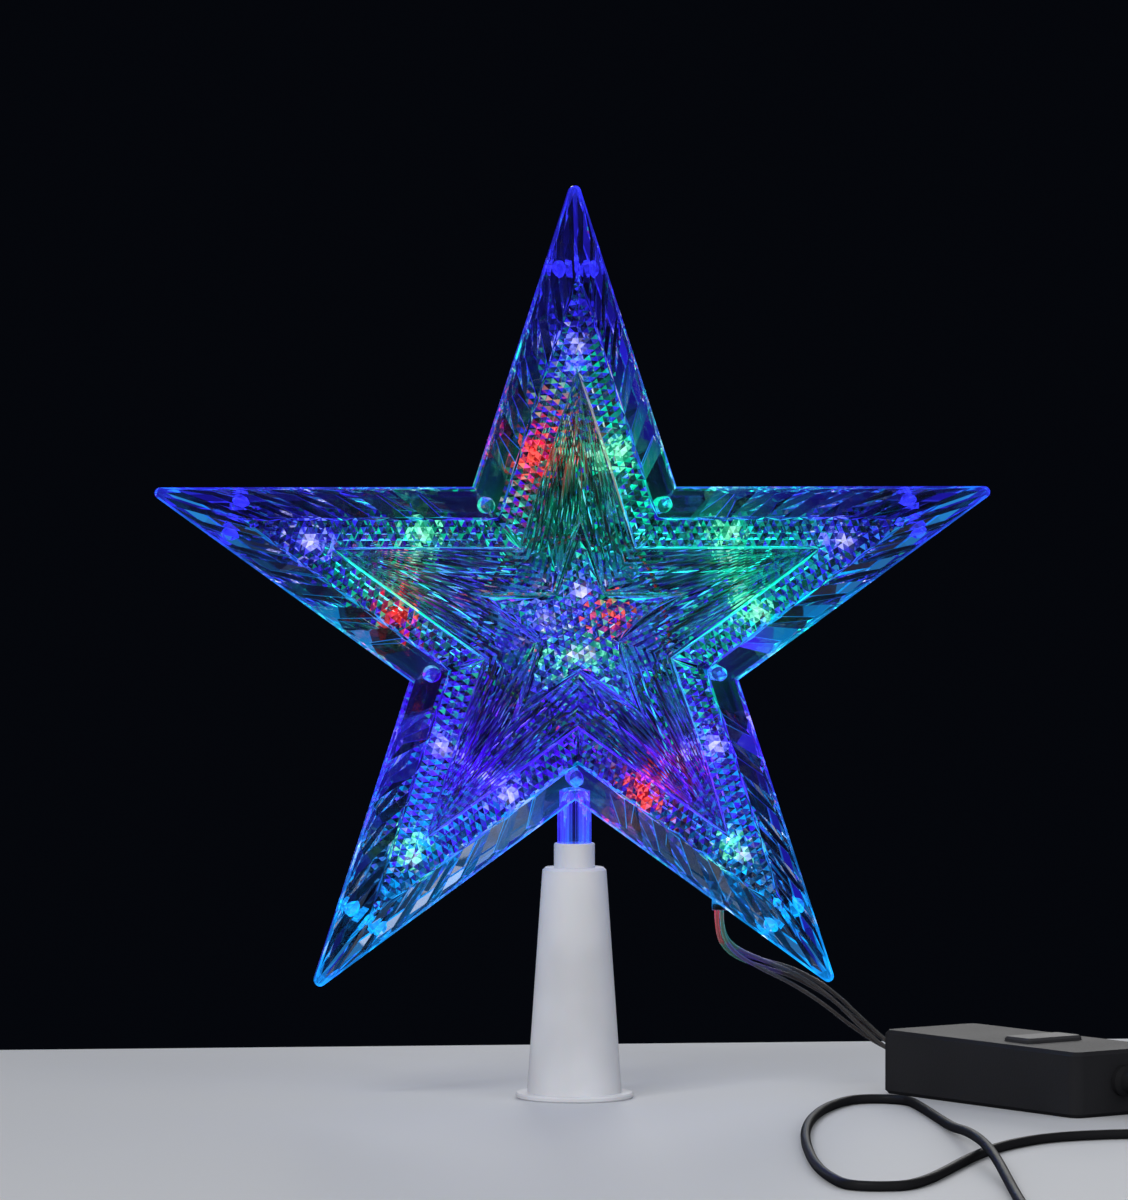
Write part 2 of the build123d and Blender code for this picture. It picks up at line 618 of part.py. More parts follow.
with BuildPart() as outlet_bush:
    with BuildSketch(Plane.XY.offset(BUSH_BOTTOM)):
        with Locations((OUTLET_X, 0)):
            Circle(BUSH_RADIUS)
    extrude(amount=BUSH_TOP - BUSH_BOTTOM)
hand_in(outlet_bush, "outlet_bush")


def out_of_gland(heading, reach, straight):
    """A cord's first two points, straight out of the gland at one end of the box."""
    return [BOX.from_local_coords((heading * (BOX_LENGTH / 2 + out), 0, BOX_SPLIT))
            for out in (reach, reach + straight)]


lead_route = [(OUTLET_X, 0, BUSH_BOTTOM), (OUTLET_X, 0, BUSH_BOTTOM - LEAD_DROP), *LEAD_POINTS]
lead_route += reversed(out_of_gland(-1, LEAD_GLAND_REACH, LEAD_STRAIGHT))
hand_in(tube(lead_route, LEAD_RADIUS), "star_lead")

# Mode box: a tray and a lid that meet at mid height, with screw columns and gland holes
columns = [(x, y) for x in (COLUMN_X, -COLUMN_X) for y in (COLUMN_Y, -COLUMN_Y)]
board_posts = [(x, y) for x in (BOARD_POST_X, -BOARD_POST_X) for y in (BOARD_POST_Y, -BOARD_POST_Y)]
end_plane = Plane(BOX.from_local_coords((-BOX_LENGTH / 2, 0, BOX_SPLIT)), x_dir=(0, 0, 1), z_dir=BOX_DIR)


def box_room():
    RectangleRounded(BOX_LENGTH - 2 * BOX_WALL, BOX_WIDTH - 2 * BOX_WALL, BOX_CORNER - BOX_WALL)


with BuildPart() as box_tray:
    with BuildSketch(BOX):
        RectangleRounded(BOX_LENGTH, BOX_WIDTH, BOX_CORNER)
    extrude(amount=BOX_SPLIT)
    chamfer(box_tray.edges().group_by(Axis.Z)[0], BOX_EDGE)
    with BuildSketch(BOX.offset(BOX_WALL)):
        box_room()
        with Locations(*columns):
            Circle(COLUMN_RADIUS, mode=Mode.SUBTRACT)
    extrude(amount=BOX_SPLIT, mode=Mode.SUBTRACT)
    with BuildSketch(BOX):
        with Locations(*board_posts):
            Circle(BOARD_POST_RADIUS)
    extrude(amount=BOARD_HEIGHT)
    with BuildSketch(end_plane):
        Circle(GLAND_RADIUS + GLAND_PLAY)
    extrude(amount=BOX_LENGTH, mode=Mode.SUBTRACT)
hand_in(box_tray, "box_tray")

with BuildPart() as box_lid:
    with BuildSketch(BOX.offset(BOX_SPLIT)):
        RectangleRounded(BOX_LENGTH, BOX_WIDTH, BOX_CORNER)
    extrude(amount=BOX_HEIGHT - BOX_SPLIT)
    chamfer(box_lid.edges().group_by(Axis.Z)[-1], BOX_EDGE)
    with BuildSketch(BOX.offset(BOX_SPLIT)):
        box_room()
        with Locations(*columns):
            Circle(COLUMN_RADIUS, mode=Mode.SUBTRACT)
    extrude(amount=BOX_HEIGHT - BOX_WALL - BOX_SPLIT, mode=Mode.SUBTRACT)
    with BuildSketch(BOX.offset(BOX_SPLIT)):
        with Locations((BUTTON_X, 0)):
            RectangleRounded(BUTTON_LENGTH + 2 * BUTTON_GAP, BUTTON_WIDTH + 2 * BUTTON_GAP,
                             BUTTON_CORNER + BUTTON_GAP)
    extrude(amount=BOX_HEIGHT, mode=Mode.SUBTRACT)
    with BuildSketch(end_plane):
        Circle(GLAND_RADIUS + GLAND_PLAY)
    extrude(amount=BOX_LENGTH, mode=Mode.SUBTRACT)
hand_in(box_lid, "box_lid")

# Circuit board and what stands on it
with BuildPart() as board:
    with BuildSketch(BOX.offset(BOARD_HEIGHT)):
        Rectangle(BOARD_LENGTH, BOARD_WIDTH)
    extrude(amount=BOARD_THICKNESS)
hand_in(board, "circuit_board")

board_top = BOX.offset(BOARD_HEIGHT + BOARD_THICKNESS)
with BuildPart() as chip:
    with BuildSketch(board_top):
        with Locations((CHIP_X, 0)):
            Rectangle(CHIP_LENGTH, CHIP_WIDTH)
    extrude(amount=CHIP_HEIGHT)
hand_in(chip, "mode_chip")

with BuildPart() as capacitor:
    with BuildSketch(board_top):
        with Locations((CAPACITOR_X, CAPACITOR_Y)):
            Circle(CAPACITOR_RADIUS)
    extrude(amount=CAPACITOR_HEIGHT)
hand_in(capacitor, "capacitor")

driver_rows = [(DRIVER_X, (row - (DRIVERS - 1) / 2) * DRIVER_PITCH) for row in range(DRIVERS)]
with BuildPart() as drivers:
    with BuildSketch(board_top):
        with Locations(*driver_rows):
            Circle(DRIVER_RADIUS)
        with Locations(*[(x - DRIVER_RADIUS - DRIVER_FLAT, y) for x, y in driver_rows]):
            Rectangle(2 * DRIVER_RADIUS, 2 * DRIVER_RADIUS, mode=Mode.SUBTRACT)
    extrude(amount=DRIVER_HEIGHT)
hand_in(drivers, "lamp_drivers")

with BuildPart() as switch:
    with BuildSketch(board_top):
        with Locations((BUTTON_X, 0)):
            Rectangle(SWITCH_SIZE, SWITCH_SIZE)
    extrude(amount=SWITCH_HEIGHT)
    with BuildSketch(board_top.offset(SWITCH_HEIGHT - SWITCH_BORE_DEPTH)):
        with Locations((BUTTON_X, 0)):
            Circle(SWITCH_BORE)
    extrude(amount=SWITCH_BORE_DEPTH, mode=Mode.SUBTRACT)
hand_in(switch, "mode_switch")

with BuildPart() as plunger:
    with BuildSketch(BOX.offset(PLUNGER_BOTTOM)):
        with Locations((BUTTON_X, 0)):
            Circle(PLUNGER_RADIUS)
    extrude(amount=PLUNGER_TOP - PLUNGER_BOTTOM)
hand_in(plunger, "switch_plunger")

with BuildPart() as mode_button:
    with BuildSketch(BOX.offset(LEDGE_BOTTOM)):
        with Locations((BUTTON_X, 0)):
            RectangleRounded(BUTTON_LENGTH, BUTTON_WIDTH, BUTTON_CORNER)
    extrude(amount=BUTTON_TOP - LEDGE_BOTTOM)
    chamfer(mode_button.edges().group_by(Axis.Z)[-1], BUTTON_CHAMFER)
    with BuildSketch(BOX.offset(LEDGE_BOTTOM)):
        with Locations((BUTTON_X, 0)):
            RectangleRounded(BUTTON_LENGTH + 2 * LEDGE_OVERHANG, BUTTON_WIDTH + 2 * LEDGE_OVERHANG,
                             BUTTON_CORNER)
    extrude(amount=LEDGE_TOP - LEDGE_BOTTOM)
    with BuildSketch(BOX.offset(PLUNGER_TOP + BUTTON_STEM_GAP)):
        with Locations((BUTTON_X, 0)):
            Circle(BUTTON_STEM_RADIUS)
    extrude(amount=LEDGE_TOP - PLUNGER_TOP - BUTTON_STEM_GAP)
hand_in(mode_button, "mode_button")


# Strain reliefs, turned about the box's long middle line and held by a collar each side of a wall
def gland(reach, tail_radius, heading):
    wall = Plane(BOX.from_local_coords((heading * BOX_LENGTH / 2, 0, BOX_SPLIT)),
                 x_dir=tuple(heading * part for part in BOX_DIR), z_dir=(0, 0, 1))
    inner = -BOX_WALL - GLAND_COLLAR
    with BuildPart() as made:
        with BuildSketch(wall):
            Polygon((inner, 0), (inner, GLAND_COLLAR_RADIUS), (-BOX_WALL, GLAND_COLLAR_RADIUS),
                    (-BOX_WALL, GLAND_RADIUS), (0, GLAND_RADIUS), (0, GLAND_COLLAR_RADIUS),
                    (GLAND_COLLAR, GLAND_COLLAR_RADIUS), (GLAND_SHOULDER, GLAND_RADIUS),
                    (reach, tail_radius), (reach, 0), align=None)
        revolve(axis=Axis(wall.origin, wall.x_dir))
    return made


hand_in(gland(LEAD_GLAND_REACH, GLAND_RADIUS - WIRE_RADIUS, -1), "lead_gland")
hand_in(gland(MAINS_GLAND_REACH, MAINS_GLAND_TAIL_RADIUS, 1), "mains_gland")


# Mains lead's coil: two layers that spiral in and out
def coil_point(turn):
    inward_turns = min(turn, 2 * TURNS_IN - turn)
    reach = COIL_OUTER - COIL_PITCH * inward_turns
    climb = min(max((turn - TURNS_IN + CLIMB_TURNS / 2) / CLIMB_TURNS, 0), 1)
    angle = radians(COIL_FIRST_ANGLE + 360 * turn)
    return Vector(COIL_CENTRE[0] + reach * cos(angle), COIL_CENTRE[1] + reach * sin(angle),
                  COIL_LIFT + COIL_LAYER * climb)


def coil_heading(turn):
    step = 1 / (ARCS_PER_TURN * ARCS_PER_TURN)
    return (coil_point(turn + step) - coil_point(turn - step)).normalized()


def biarc(start, start_way, end, end_way):
    """Two tangent arcs that leave start along start_way and reach end along end_way."""
    chord, ways = end - start, start_way + end_way
    spread = 2 * (1 - start_way.dot(end_way))
    along = chord.dot(ways)
    arm_length = (sqrt(along ** 2 + spread * chord.dot(chord)) - along) / spread
    first, second = start + start_way * arm_length, end - end_way * arm_length
    joint = (first + second) / 2
    TangentArc(start, joint, tangent=start_way)
    TangentArc(joint, end, tangent=(second - first).normalized())


quarter_turns = round((TURNS_IN + TURNS_OUT) * ARCS_PER_TURN)
stations = [step / ARCS_PER_TURN for step in range(quarter_turns + 1)]
places = [coil_point(turn) for turn in stations]
headings = [Vector(0, -1, 0)] + [coil_heading(turn) for turn in stations[1:-1]] + [Vector(1, 0, 0)]
with BuildPart() as mains_coil:
    with BuildLine() as coil_route:
        Line(places[0] - headings[0] * 2 * CORD_RADIUS, places[0])
        for step in range(quarter_turns):
            biarc(places[step], headings[step], places[step + 1], headings[step + 1])
        Line(places[-1], places[-1] + headings[-1] * 2 * CORD_RADIUS)
    coil_path = coil_route.wires()[0]
    with BuildSketch(Plane(coil_path @ 0, z_dir=coil_path % 0)) as coil_section:
        RegularPolygon(CORD_RADIUS, CORD_SIDES)
    sweep(path=coil_path)
hand_in(mains_coil, "mains_coil")

spacing = coil_path.length / GAP_SAMPLES
samples = [coil_path @ (step / GAP_SAMPLES) for step in range(GAP_SAMPLES + 1)]
skip = round(GAP_APART / spacing)
nearest = min((samples[i] - samples[j]).length
              for i in range(len(samples)) for j in range(i + skip, len(samples)))
print(f"coil {coil_path.length:.1f} long, least gap to itself {nearest - 2 * CORD_RADIUS:.2f}, "
      f"volume over section x length {mains_coil.part.volume / coil_section.sketch.area / coil_path.length:.4f}")

# Mains lead's stretch from the box to the coil, and its tail from the coil to the plug
coil_start, coil_end = coil_path @ 0, coil_path @ 1
mains_route = [*out_of_gland(1, MAINS_GLAND_REACH, MAINS_STRAIGHT), *MAINS_POINTS,
               coil_start + Vector(0, COIL_APPROACH, 0), coil_start]
hand_in(tube(mains_route, CORD_RADIUS), "mains_lead")
plug_route = [coil_end, coil_end + Vector(PLUG_STRAIGHT, 0, 0), *PLUG_POINTS,
              (PLUG_TAIL_X - PLUG_STRAIGHT, PLUG_Y, PLUG_HEIGHT), (PLUG_TAIL_X, PLUG_Y, PLUG_HEIGHT)]
hand_in(tube(plug_route, CORD_RADIUS), "mains_tail")

# Tie: a flat band round the coil's turns
tie_turn = radians(TIE_ANGLE)
tie_way = (cos(tie_turn), sin(tie_turn), 0)
tie_inner = COIL_OUTER - COIL_PITCH * TURNS_IN - CORD_RADIUS - TIE_GAP
tie_outer = COIL_OUTER + CORD_RADIUS + TIE_GAP
tie_top = COIL_LIFT + COIL_LAYER + CORD_RADIUS + TIE_GAP
tie_plane = Plane((*COIL_CENTRE, 0), x_dir=tie_way, z_dir=(sin(tie_turn), -cos(tie_turn), 0))
with BuildPart() as coil_tie:
    with BuildSketch(tie_plane.offset(-TIE_WIDTH / 2)):
        with Locations(((tie_inner + tie_outer) / 2, (tie_top + TIE_STRIP) / 2)):
            Rectangle(tie_outer - tie_inner + 2 * TIE_STRIP, tie_top + TIE_STRIP)
            Rectangle(tie_outer - tie_inner, tie_top - TIE_STRIP, mode=Mode.SUBTRACT)
    extrude(amount=TIE_WIDTH)
hand_in(coil_tie, "coil_tie")

# Plug: a tapered tail, a body that widens to its face, and two part-sleeved prongs
def plug_plane(along):
    return Plane((PLUG_TAIL_X + along, PLUG_Y, PLUG_HEIGHT), x_dir=(0, 1, 0), z_dir=(1, 0, 0))


widest = PLUG_TAIL_LENGTH + PLUG_BODY_LENGTH - PLUG_FACE_LENGTH
face = PLUG_TAIL_LENGTH + PLUG_BODY_LENGTH
prongs_at = [(PRONG_SPACING / 2, 0), (-PRONG_SPACING / 2, 0)]
with BuildPart() as plug_body:
    with BuildSketch(plug_plane(0)):
        Circle(PLUG_TAIL_END)
    with BuildSketch(plug_plane(PLUG_TAIL_LENGTH)):
        Circle(PLUG_TAIL_ROOT)
    loft()
    with BuildSketch(plug_plane(PLUG_TAIL_LENGTH)):
        RectangleRounded(PLUG_REAR_WIDTH, PLUG_REAR_HEIGHT, PLUG_CORNER)
    with BuildSketch(plug_plane(widest)):
        RectangleRounded(PLUG_FACE_WIDTH, PLUG_FACE_HEIGHT, PLUG_CORNER)
    loft()
    with BuildSketch(plug_plane(widest)):
        RectangleRounded(PLUG_FACE_WIDTH, PLUG_FACE_HEIGHT, PLUG_CORNER)
    extrude(amount=PLUG_FACE_LENGTH)
    with BuildSketch(plug_plane(face - PRONG_ROOT)):
        with Locations(*prongs_at):
            Circle(PRONG_CORE_RADIUS + PRONG_PLAY)
    extrude(amount=PRONG_ROOT, mode=Mode.SUBTRACT)
hand_in(plug_body, "plug_body")

with BuildPart() as plug_prongs:
    with BuildSketch(plug_plane(face - PRONG_ROOT)):
        with Locations(*prongs_at):
            Circle(PRONG_CORE_RADIUS)
    extrude(amount=PRONG_ROOT + PRONG_SLEEVE_LENGTH)
    with BuildSketch(plug_plane(face + PRONG_SLEEVE_LENGTH)):
        with Locations(*prongs_at):
            Circle(PRONG_RADIUS)
    extrude(amount=PRONG_LENGTH - PRONG_SLEEVE_LENGTH)
    chamfer(plug_prongs.edges().group_by(Axis.X)[-1], PRONG_CHAMFER)
hand_in(plug_prongs, "plug_prongs")

with BuildPart() as prong_sleeves:
    with BuildSketch(plug_plane(face)):
        with Locations(*prongs_at):
            Circle(PRONG_SLEEVE_RADIUS)
            Circle(PRONG_CORE_RADIUS + PRONG_PLAY, mode=Mode.SUBTRACT)
    extrude(amount=PRONG_SLEEVE_LENGTH)
hand_in(prong_sleeves, "prong_sleeves")
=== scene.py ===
"""A lighted five-pointed tree topper: clear star, white tree socket, mode box and mains lead."""
from math import cos, exp, pi, radians, sin

import bmesh
import bpy
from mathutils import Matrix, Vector
from mathutils.geometry import delaunay_2d_cdt


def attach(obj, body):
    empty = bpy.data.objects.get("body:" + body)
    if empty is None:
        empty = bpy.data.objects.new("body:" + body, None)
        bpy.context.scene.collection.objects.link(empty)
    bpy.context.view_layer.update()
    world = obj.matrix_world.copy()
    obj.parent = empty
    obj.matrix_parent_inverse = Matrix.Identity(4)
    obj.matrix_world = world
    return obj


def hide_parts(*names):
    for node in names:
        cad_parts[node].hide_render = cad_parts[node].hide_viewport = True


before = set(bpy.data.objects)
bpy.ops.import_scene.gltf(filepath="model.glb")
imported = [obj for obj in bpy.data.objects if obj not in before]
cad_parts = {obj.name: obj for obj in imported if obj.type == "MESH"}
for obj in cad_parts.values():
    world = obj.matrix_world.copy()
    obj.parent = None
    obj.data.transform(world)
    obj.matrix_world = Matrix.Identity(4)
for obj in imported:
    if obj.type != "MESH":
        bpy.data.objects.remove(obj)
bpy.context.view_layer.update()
bpy.ops.object.select_all(action="DESELECT")
scene = bpy.context.scene
scene.view_settings.view_transform = "Standard"

# The camera stands 1.8 m off, a little left of the star's front and just above its middle.
# Its field is worked out from the 1128 x 1200 picture, in which 1 pixel is 0.2635 mm at the star.
MM = 0.001
PICTURE_WIDTH = 1128
PIXEL = 0.2635 * MM
CAMERA_DISTANCE = 1.8
CAMERA_TURN = radians(-6)
CAMERA_HEIGHT = 0.189
AIM_HEIGHT = 0.1315
AIM_LEFT = 0.00274
across = Vector((cos(CAMERA_TURN), sin(CAMERA_TURN), 0))
stand = Vector((CAMERA_DISTANCE * sin(CAMERA_TURN), -CAMERA_DISTANCE * cos(CAMERA_TURN), CAMERA_HEIGHT))
aim = Vector((0, 0, AIM_HEIGHT)) - AIM_LEFT * across
bpy.ops.object.camera_add(location=stand, rotation=(aim - stand).to_track_quat("-Z", "Y").to_euler())
camera = bpy.context.object
camera.data.sensor_fit = "HORIZONTAL"
camera.data.lens = camera.data.sensor_width * CAMERA_DISTANCE / PIXEL / PICTURE_WIDTH
scene.camera = camera

# The table is a pale satin board with a straight, slightly rounded back edge behind the star.
# In gloss and through clear plastic it counts as dark, so that the star keeps its own light.
TABLE_BACK = 0.147
TABLE_FRONT = -1.1
TABLE_HALF_WIDTH = 0.85
TABLE_THICKNESS = 0.024
TABLE_EDGE = 3.0 * MM
TABLE_EDGE_STEPS = 3
TABLE_ROUGHNESS = 0.55
TABLE_COLOUR = (0.70, 0.71, 0.74, 1)
TABLE_IN_GLASS = (0.03, 0.03, 0.04, 1)
table_middle = (0, (TABLE_BACK + TABLE_FRONT) / 2, -TABLE_THICKNESS / 2)
table_size = (2 * TABLE_HALF_WIDTH, TABLE_BACK - TABLE_FRONT, TABLE_THICKNESS)
bpy.ops.mesh.primitive_cube_add(size=1, location=table_middle, scale=table_size)
bpy.ops.object.transform_apply(location=True, rotation=False, scale=True)
table = bpy.context.object
table.name = "table"
edge_round = table.modifiers.new("edge_round", "BEVEL")
edge_round.width, edge_round.segments = TABLE_EDGE, TABLE_EDGE_STEPS
bpy.ops.object.modifier_apply(modifier="edge_round")


class Value:
    """One output of a shader node. Sums, differences and products of values add Math nodes."""

    def __init__(self, tree, socket):
        self.tree, self.socket = tree, socket

    def math(self, operation, first, second):
        return node(self.tree, "ShaderNodeMath", {"operation": operation}, {0: first, 1: second})

    def __add__(self, other):
        return self.math("ADD", self, other)

    def __rsub__(self, other):
        return self.math("SUBTRACT", other, self)

    def __mul__(self, other):
        return self.math("MULTIPLY", self, other)

    __radd__, __rmul__ = __add__, __mul__


def node(tree, kind, settings, inputs, output=0):
    """One node with its settings and ramp stops, then the values or links of its sockets."""
    made = tree.nodes.new(kind)
    for name, value in settings.items():
        if name == "stops":
            ramp = made.color_ramp.elements
            for stop, (place, colour) in zip((ramp[0], ramp[1]), value):
                stop.position, stop.color = place, (*colour, 1)
        else:
            setattr(made, name, value)
    for name, value in inputs.items():
        if isinstance(value, Value):
            tree.links.new(value.socket, made.inputs[name])
        else:
            made.inputs[name].default_value = value
    return Value(tree, made.outputs[output])


def light_path(tree, ray):
    """1 for rays of one kind, and 0 for all others."""
    return node(tree, "ShaderNodeLightPath", {}, {}, ray)


def mix(tree, share, first, second):
    """The first colour where the share is 0, and the second where it is 1."""
    inputs = {"Factor": share, "A": first, "B": second}
    return node(tree, "ShaderNodeMix", {"data_type": "RGBA"}, inputs, "Result")


def surface(name, **inputs):
    """A material with one Principled shader, and its tree for the nodes that feed it."""
    material = bpy.data.materials.new(name)
    material.use_nodes = True
    tree = material.node_tree
    shader = next(n for n in tree.nodes if n.type == "BSDF_PRINCIPLED")
    for socket, value in inputs.items():
        shader.inputs[socket.replace("_", " ")].default_value = value
    return material, tree, shader


def feed(tree, shader, **values):
    """Links values to the sockets of a shader."""
    for socket, value in values.items():
        tree.links.new(value.socket, shader.inputs[socket.replace("_", " ")])


board, tree, shader = surface("pale_board", Roughness=TABLE_ROUGHNESS)
bounced = light_path(tree, "Is Glossy Ray") + light_path(tree, "Is Transmission Ray")
feed(tree, shader, Base_Color=mix(tree, bounced, TABLE_COLOUR, TABLE_IN_GLASS))
table.data.materials.append(board)

# The room is dark, and soft light comes from a dome that only matt surfaces gather.
# A key stands at the left and a fill at the right, and two smaller lamps put light on edges.
ROOM_COLOUR = (0.0015, 0.002, 0.0035, 1)
DOME_COLOUR = (0.92, 0.95, 1.0, 1)
DOME_STRENGTH = 0.42
LIGHT_AIM = Vector((0, 0, AIM_HEIGHT / 2))
LIGHTS = {  # place, size, power, and whether gloss shows it
    "key": ((-0.9, -1.3, 1.3), 0.9, 11.0, False),
    "fill": ((1.1, -1.2, 0.8), 0.9, 4.0, False),
    "edge": ((-0.55, -0.5, 0.75), 0.12, 0.6, True),
    "back": ((0.35, 1.5, 0.55), 0.6, 2.0, True),
}
world = bpy.data.worlds.new("dark_room")
scene.world = world
world.use_nodes = True
tree = world.node_tree
background = next(n for n in tree.nodes if n.type == "BACKGROUND")
matt = light_path(tree, "Is Diffuse Ray")
feed(tree, background, Color=mix(tree, matt, ROOM_COLOUR, DOME_COLOUR),
     Strength=matt * DOME_STRENGTH + (1 - matt))
for name, (place, size, power, shines) in LIGHTS.items():
    way = LIGHT_AIM - Vector(place)
    bpy.ops.object.light_add(type="AREA", location=place, rotation=way.to_track_quat("-Z", "Y").to_euler())
    lamp = bpy.context.object
    lamp.name = name
    lamp.data.size, lamp.data.energy = size, power
    lamp.visible_glossy = shines
    lamp.visible_camera = lamp.visible_transmission = False

# The lead from the star to the mode box is four thin copper wires in clear skins, side by side.
# They leave a bush in the lower right arm, droop behind its tip and go into the box's short gland.
# Near the star their skins carry a painted glow in the colours of its lamps.
LEAD_POINTS = [
    (38.48, 0.0, 49.3), (38.48, 0.0, 43.0), (42.5, 2.0, 38.0), (50.5, 5.5, 34.5), (60.0, 10.5, 31.0),
    (70.0, 17.0, 25.0), (79.0, 22.5, 17.0), (86.5, 24.3, 11.0), (91.0, 19.3, 9.0), (93.0, 15.84, 9.0),
]
LINE_ORDER = 3
LINE_STEPS = 12
STRAND_RADIUS = 0.58 * MM
COPPER_RADIUS = 0.24 * MM
STRAND_OFFSET = 0.92 * MM
STRAND_SIDES = 10
STRAND_STRAY = (0.1, 0.9, 0.5, 1.7)
# Painted light on the lead: the clear skins glow in bands of the star's lamp colours, fading away from the
# bush.
STRAND_PAINTED_LIGHT = ((1.0, 0.03, 0.12), (0.0, 0.45, 0.35), (0.10, 0.02, 1.0), (0.0, 0.02, 0.10))
LIGHT_STEP = 9.0 * MM
LIGHT_REACH = 20.0 * MM
STRANDS_PER_STEP = 3
LAY_TURNS = 0.6


def smooth_line(name, points):
    """An open NURBS curve object with the given control points, in metres."""
    curve = bpy.data.curves.new(name, "CURVE")
    curve.dimensions, curve.resolution_u = "3D", LINE_STEPS
    spline = curve.splines.new("NURBS")
    spline.points.add(len(points) - 1)
    for point, place in zip(spline.points, points):
        point.co = (*place, 1)
    spline.order_u, spline.use_endpoint_u = LINE_ORDER, True
    line = bpy.data.objects.new(name, curve)
    scene.collection.objects.link(line)
    return line


def points_on(line):
    """The points that Blender makes of a curve with no bevel."""
    mesh = bpy.data.meshes.new_from_object(line)
    found = [v.co.copy() for v in mesh.vertices]
    bpy.data.meshes.remove(mesh)
    return found


def frames_along(points):
    """A pair of cross directions at each point, carried along the line without twist."""
    side, pairs = None, []
    for index, point in enumerate(points):
        ahead = (points[min(index + 1, len(points) - 1)] - points[max(index - 1, 0)]).normalized()
        side = ahead.orthogonal() if side is None else side - side.dot(ahead) * ahead
        side.normalize()
        pairs.append((side.copy(), ahead.cross(side)))
    return pairs


def skin_tube(build, points, radius, sides, slot=0):
    """Adds one closed tube along the points to a bmesh, in one of its slots, and gives its faces."""
    rings, skin = [], []
    for point, (side, up) in zip(points, frames_along(points)):
        turns = [2 * pi * step / sides for step in range(sides)]
        rings.append([build.verts.new(point + radius * (cos(t) * side + sin(t) * up)) for t in turns])
    for first, second in zip(rings, rings[1:]):
        for step in range(sides):
            after = (step + 1) % sides
            skin.append(build.faces.new((first[step], first[after], second[after], second[step])))
            skin[-1].smooth = True
    skin += [build.faces.new(reversed(rings[0])), build.faces.new(rings[-1])]
    for face in skin:
        face.material_index = slot
    return skin


def piece(name, build, material, body):
    """A new piece from a bmesh, at the origin, riding on a body."""
    mesh = bpy.data.meshes.new(name)
    build.to_mesh(mesh)
    build.free()
    made = bpy.data.objects.new(name, mesh)
    scene.collection.objects.link(made)
    mesh.materials.append(material)
    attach(made, body)
    return made


def grained(tree, scale, detail):
    """Noise over a piece, by its own coordinates."""
    spot = node(tree, "ShaderNodeTexCoord", {}, {}, "Object")
    return node(tree, "ShaderNodeTexNoise", {}, {"Vector": spot, "Scale": scale, "Detail": detail}, "Fac")


def painted_glow_colour(tree):
    """The painted glow that a mesh keeps as a colour for each corner of its faces."""
    return node(tree, "ShaderNodeAttribute", {"attribute_name": "painted_glow"}, {}, "Color")


lead_line = smooth_line("lead_line", [Vector(p) * MM for p in LEAD_POINTS])
lead_path = points_on(lead_line)
bpy.data.objects.remove(lead_line)
strands = bmesh.new()
painted_glow = strands.loops.layers.float_color.new("painted_glow")
for strand, stray in enumerate(STRAND_STRAY):
    line = []
    for index, (point, (side, up)) in enumerate(zip(lead_path, frames_along(lead_path))):
        share = index / (len(lead_path) - 1)
        turn = 2 * pi * (strand / len(STRAND_STRAY) + LAY_TURNS * share)
        offset = STRAND_OFFSET * (1 + stray * sin(pi * share) ** 2)
        line.append(point + offset * (cos(turn) * side + sin(turn) * up))
    for face in skin_tube(strands, line, STRAND_RADIUS, STRAND_SIDES):
        for loop in face.loops:
            reach = (loop.vert.co - lead_path[0]).length
            band = int(reach / LIGHT_STEP + strand / STRANDS_PER_STEP)
            tint = STRAND_PAINTED_LIGHT[min(band, len(STRAND_PAINTED_LIGHT) - 1)]
            loop[painted_glow] = (*(exp(-reach / LIGHT_REACH) * part for part in tint), 1)
    skin_tube(strands, line, COPPER_RADIUS, STRAND_SIDES, slot=1)

WIRE_TINT = (0.90, 0.89, 0.87, 1)
WIRE_CLEARNESS = 0.92
WIRE_PAINTED_GLOW = 0.13
PLASTIC_IOR = 1.5
HAZE_SCALE = 900.0
HAZE_LEAST = 0.03
HAZE_SWING = 0.1
COPPER_DARK = (0.22, 0.10, 0.06, 1)
COPPER_LIGHT = (0.55, 0.30, 0.19, 1)
COPPER_SCALE = 1500.0
COPPER_ROUGHNESS = 0.35
SOFT_DETAIL = 2.0
# The clear skins also emit the painted glow kept on their meshes, at a low strength.
clear_wire, tree, shader = surface("clear_wire", Base_Color=WIRE_TINT, IOR=PLASTIC_IOR,
                                   Transmission_Weight=WIRE_CLEARNESS, Emission_Strength=WIRE_PAINTED_GLOW)
feed(tree, shader, Roughness=grained(tree, HAZE_SCALE, SOFT_DETAIL) * HAZE_SWING + HAZE_LEAST,
     Emission_Color=painted_glow_colour(tree))
copper, tree, shader = surface("copper_strand", Roughness=COPPER_ROUGHNESS, Metallic=1.0)
feed(tree, shader, Base_Color=mix(tree, grained(tree, COPPER_SCALE, SOFT_DETAIL), COPPER_DARK, COPPER_LIGHT))
star_lead = piece("star_lead_wires", strands, clear_wire, "star")
star_lead.data.materials.append(copper)
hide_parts("star_lead")

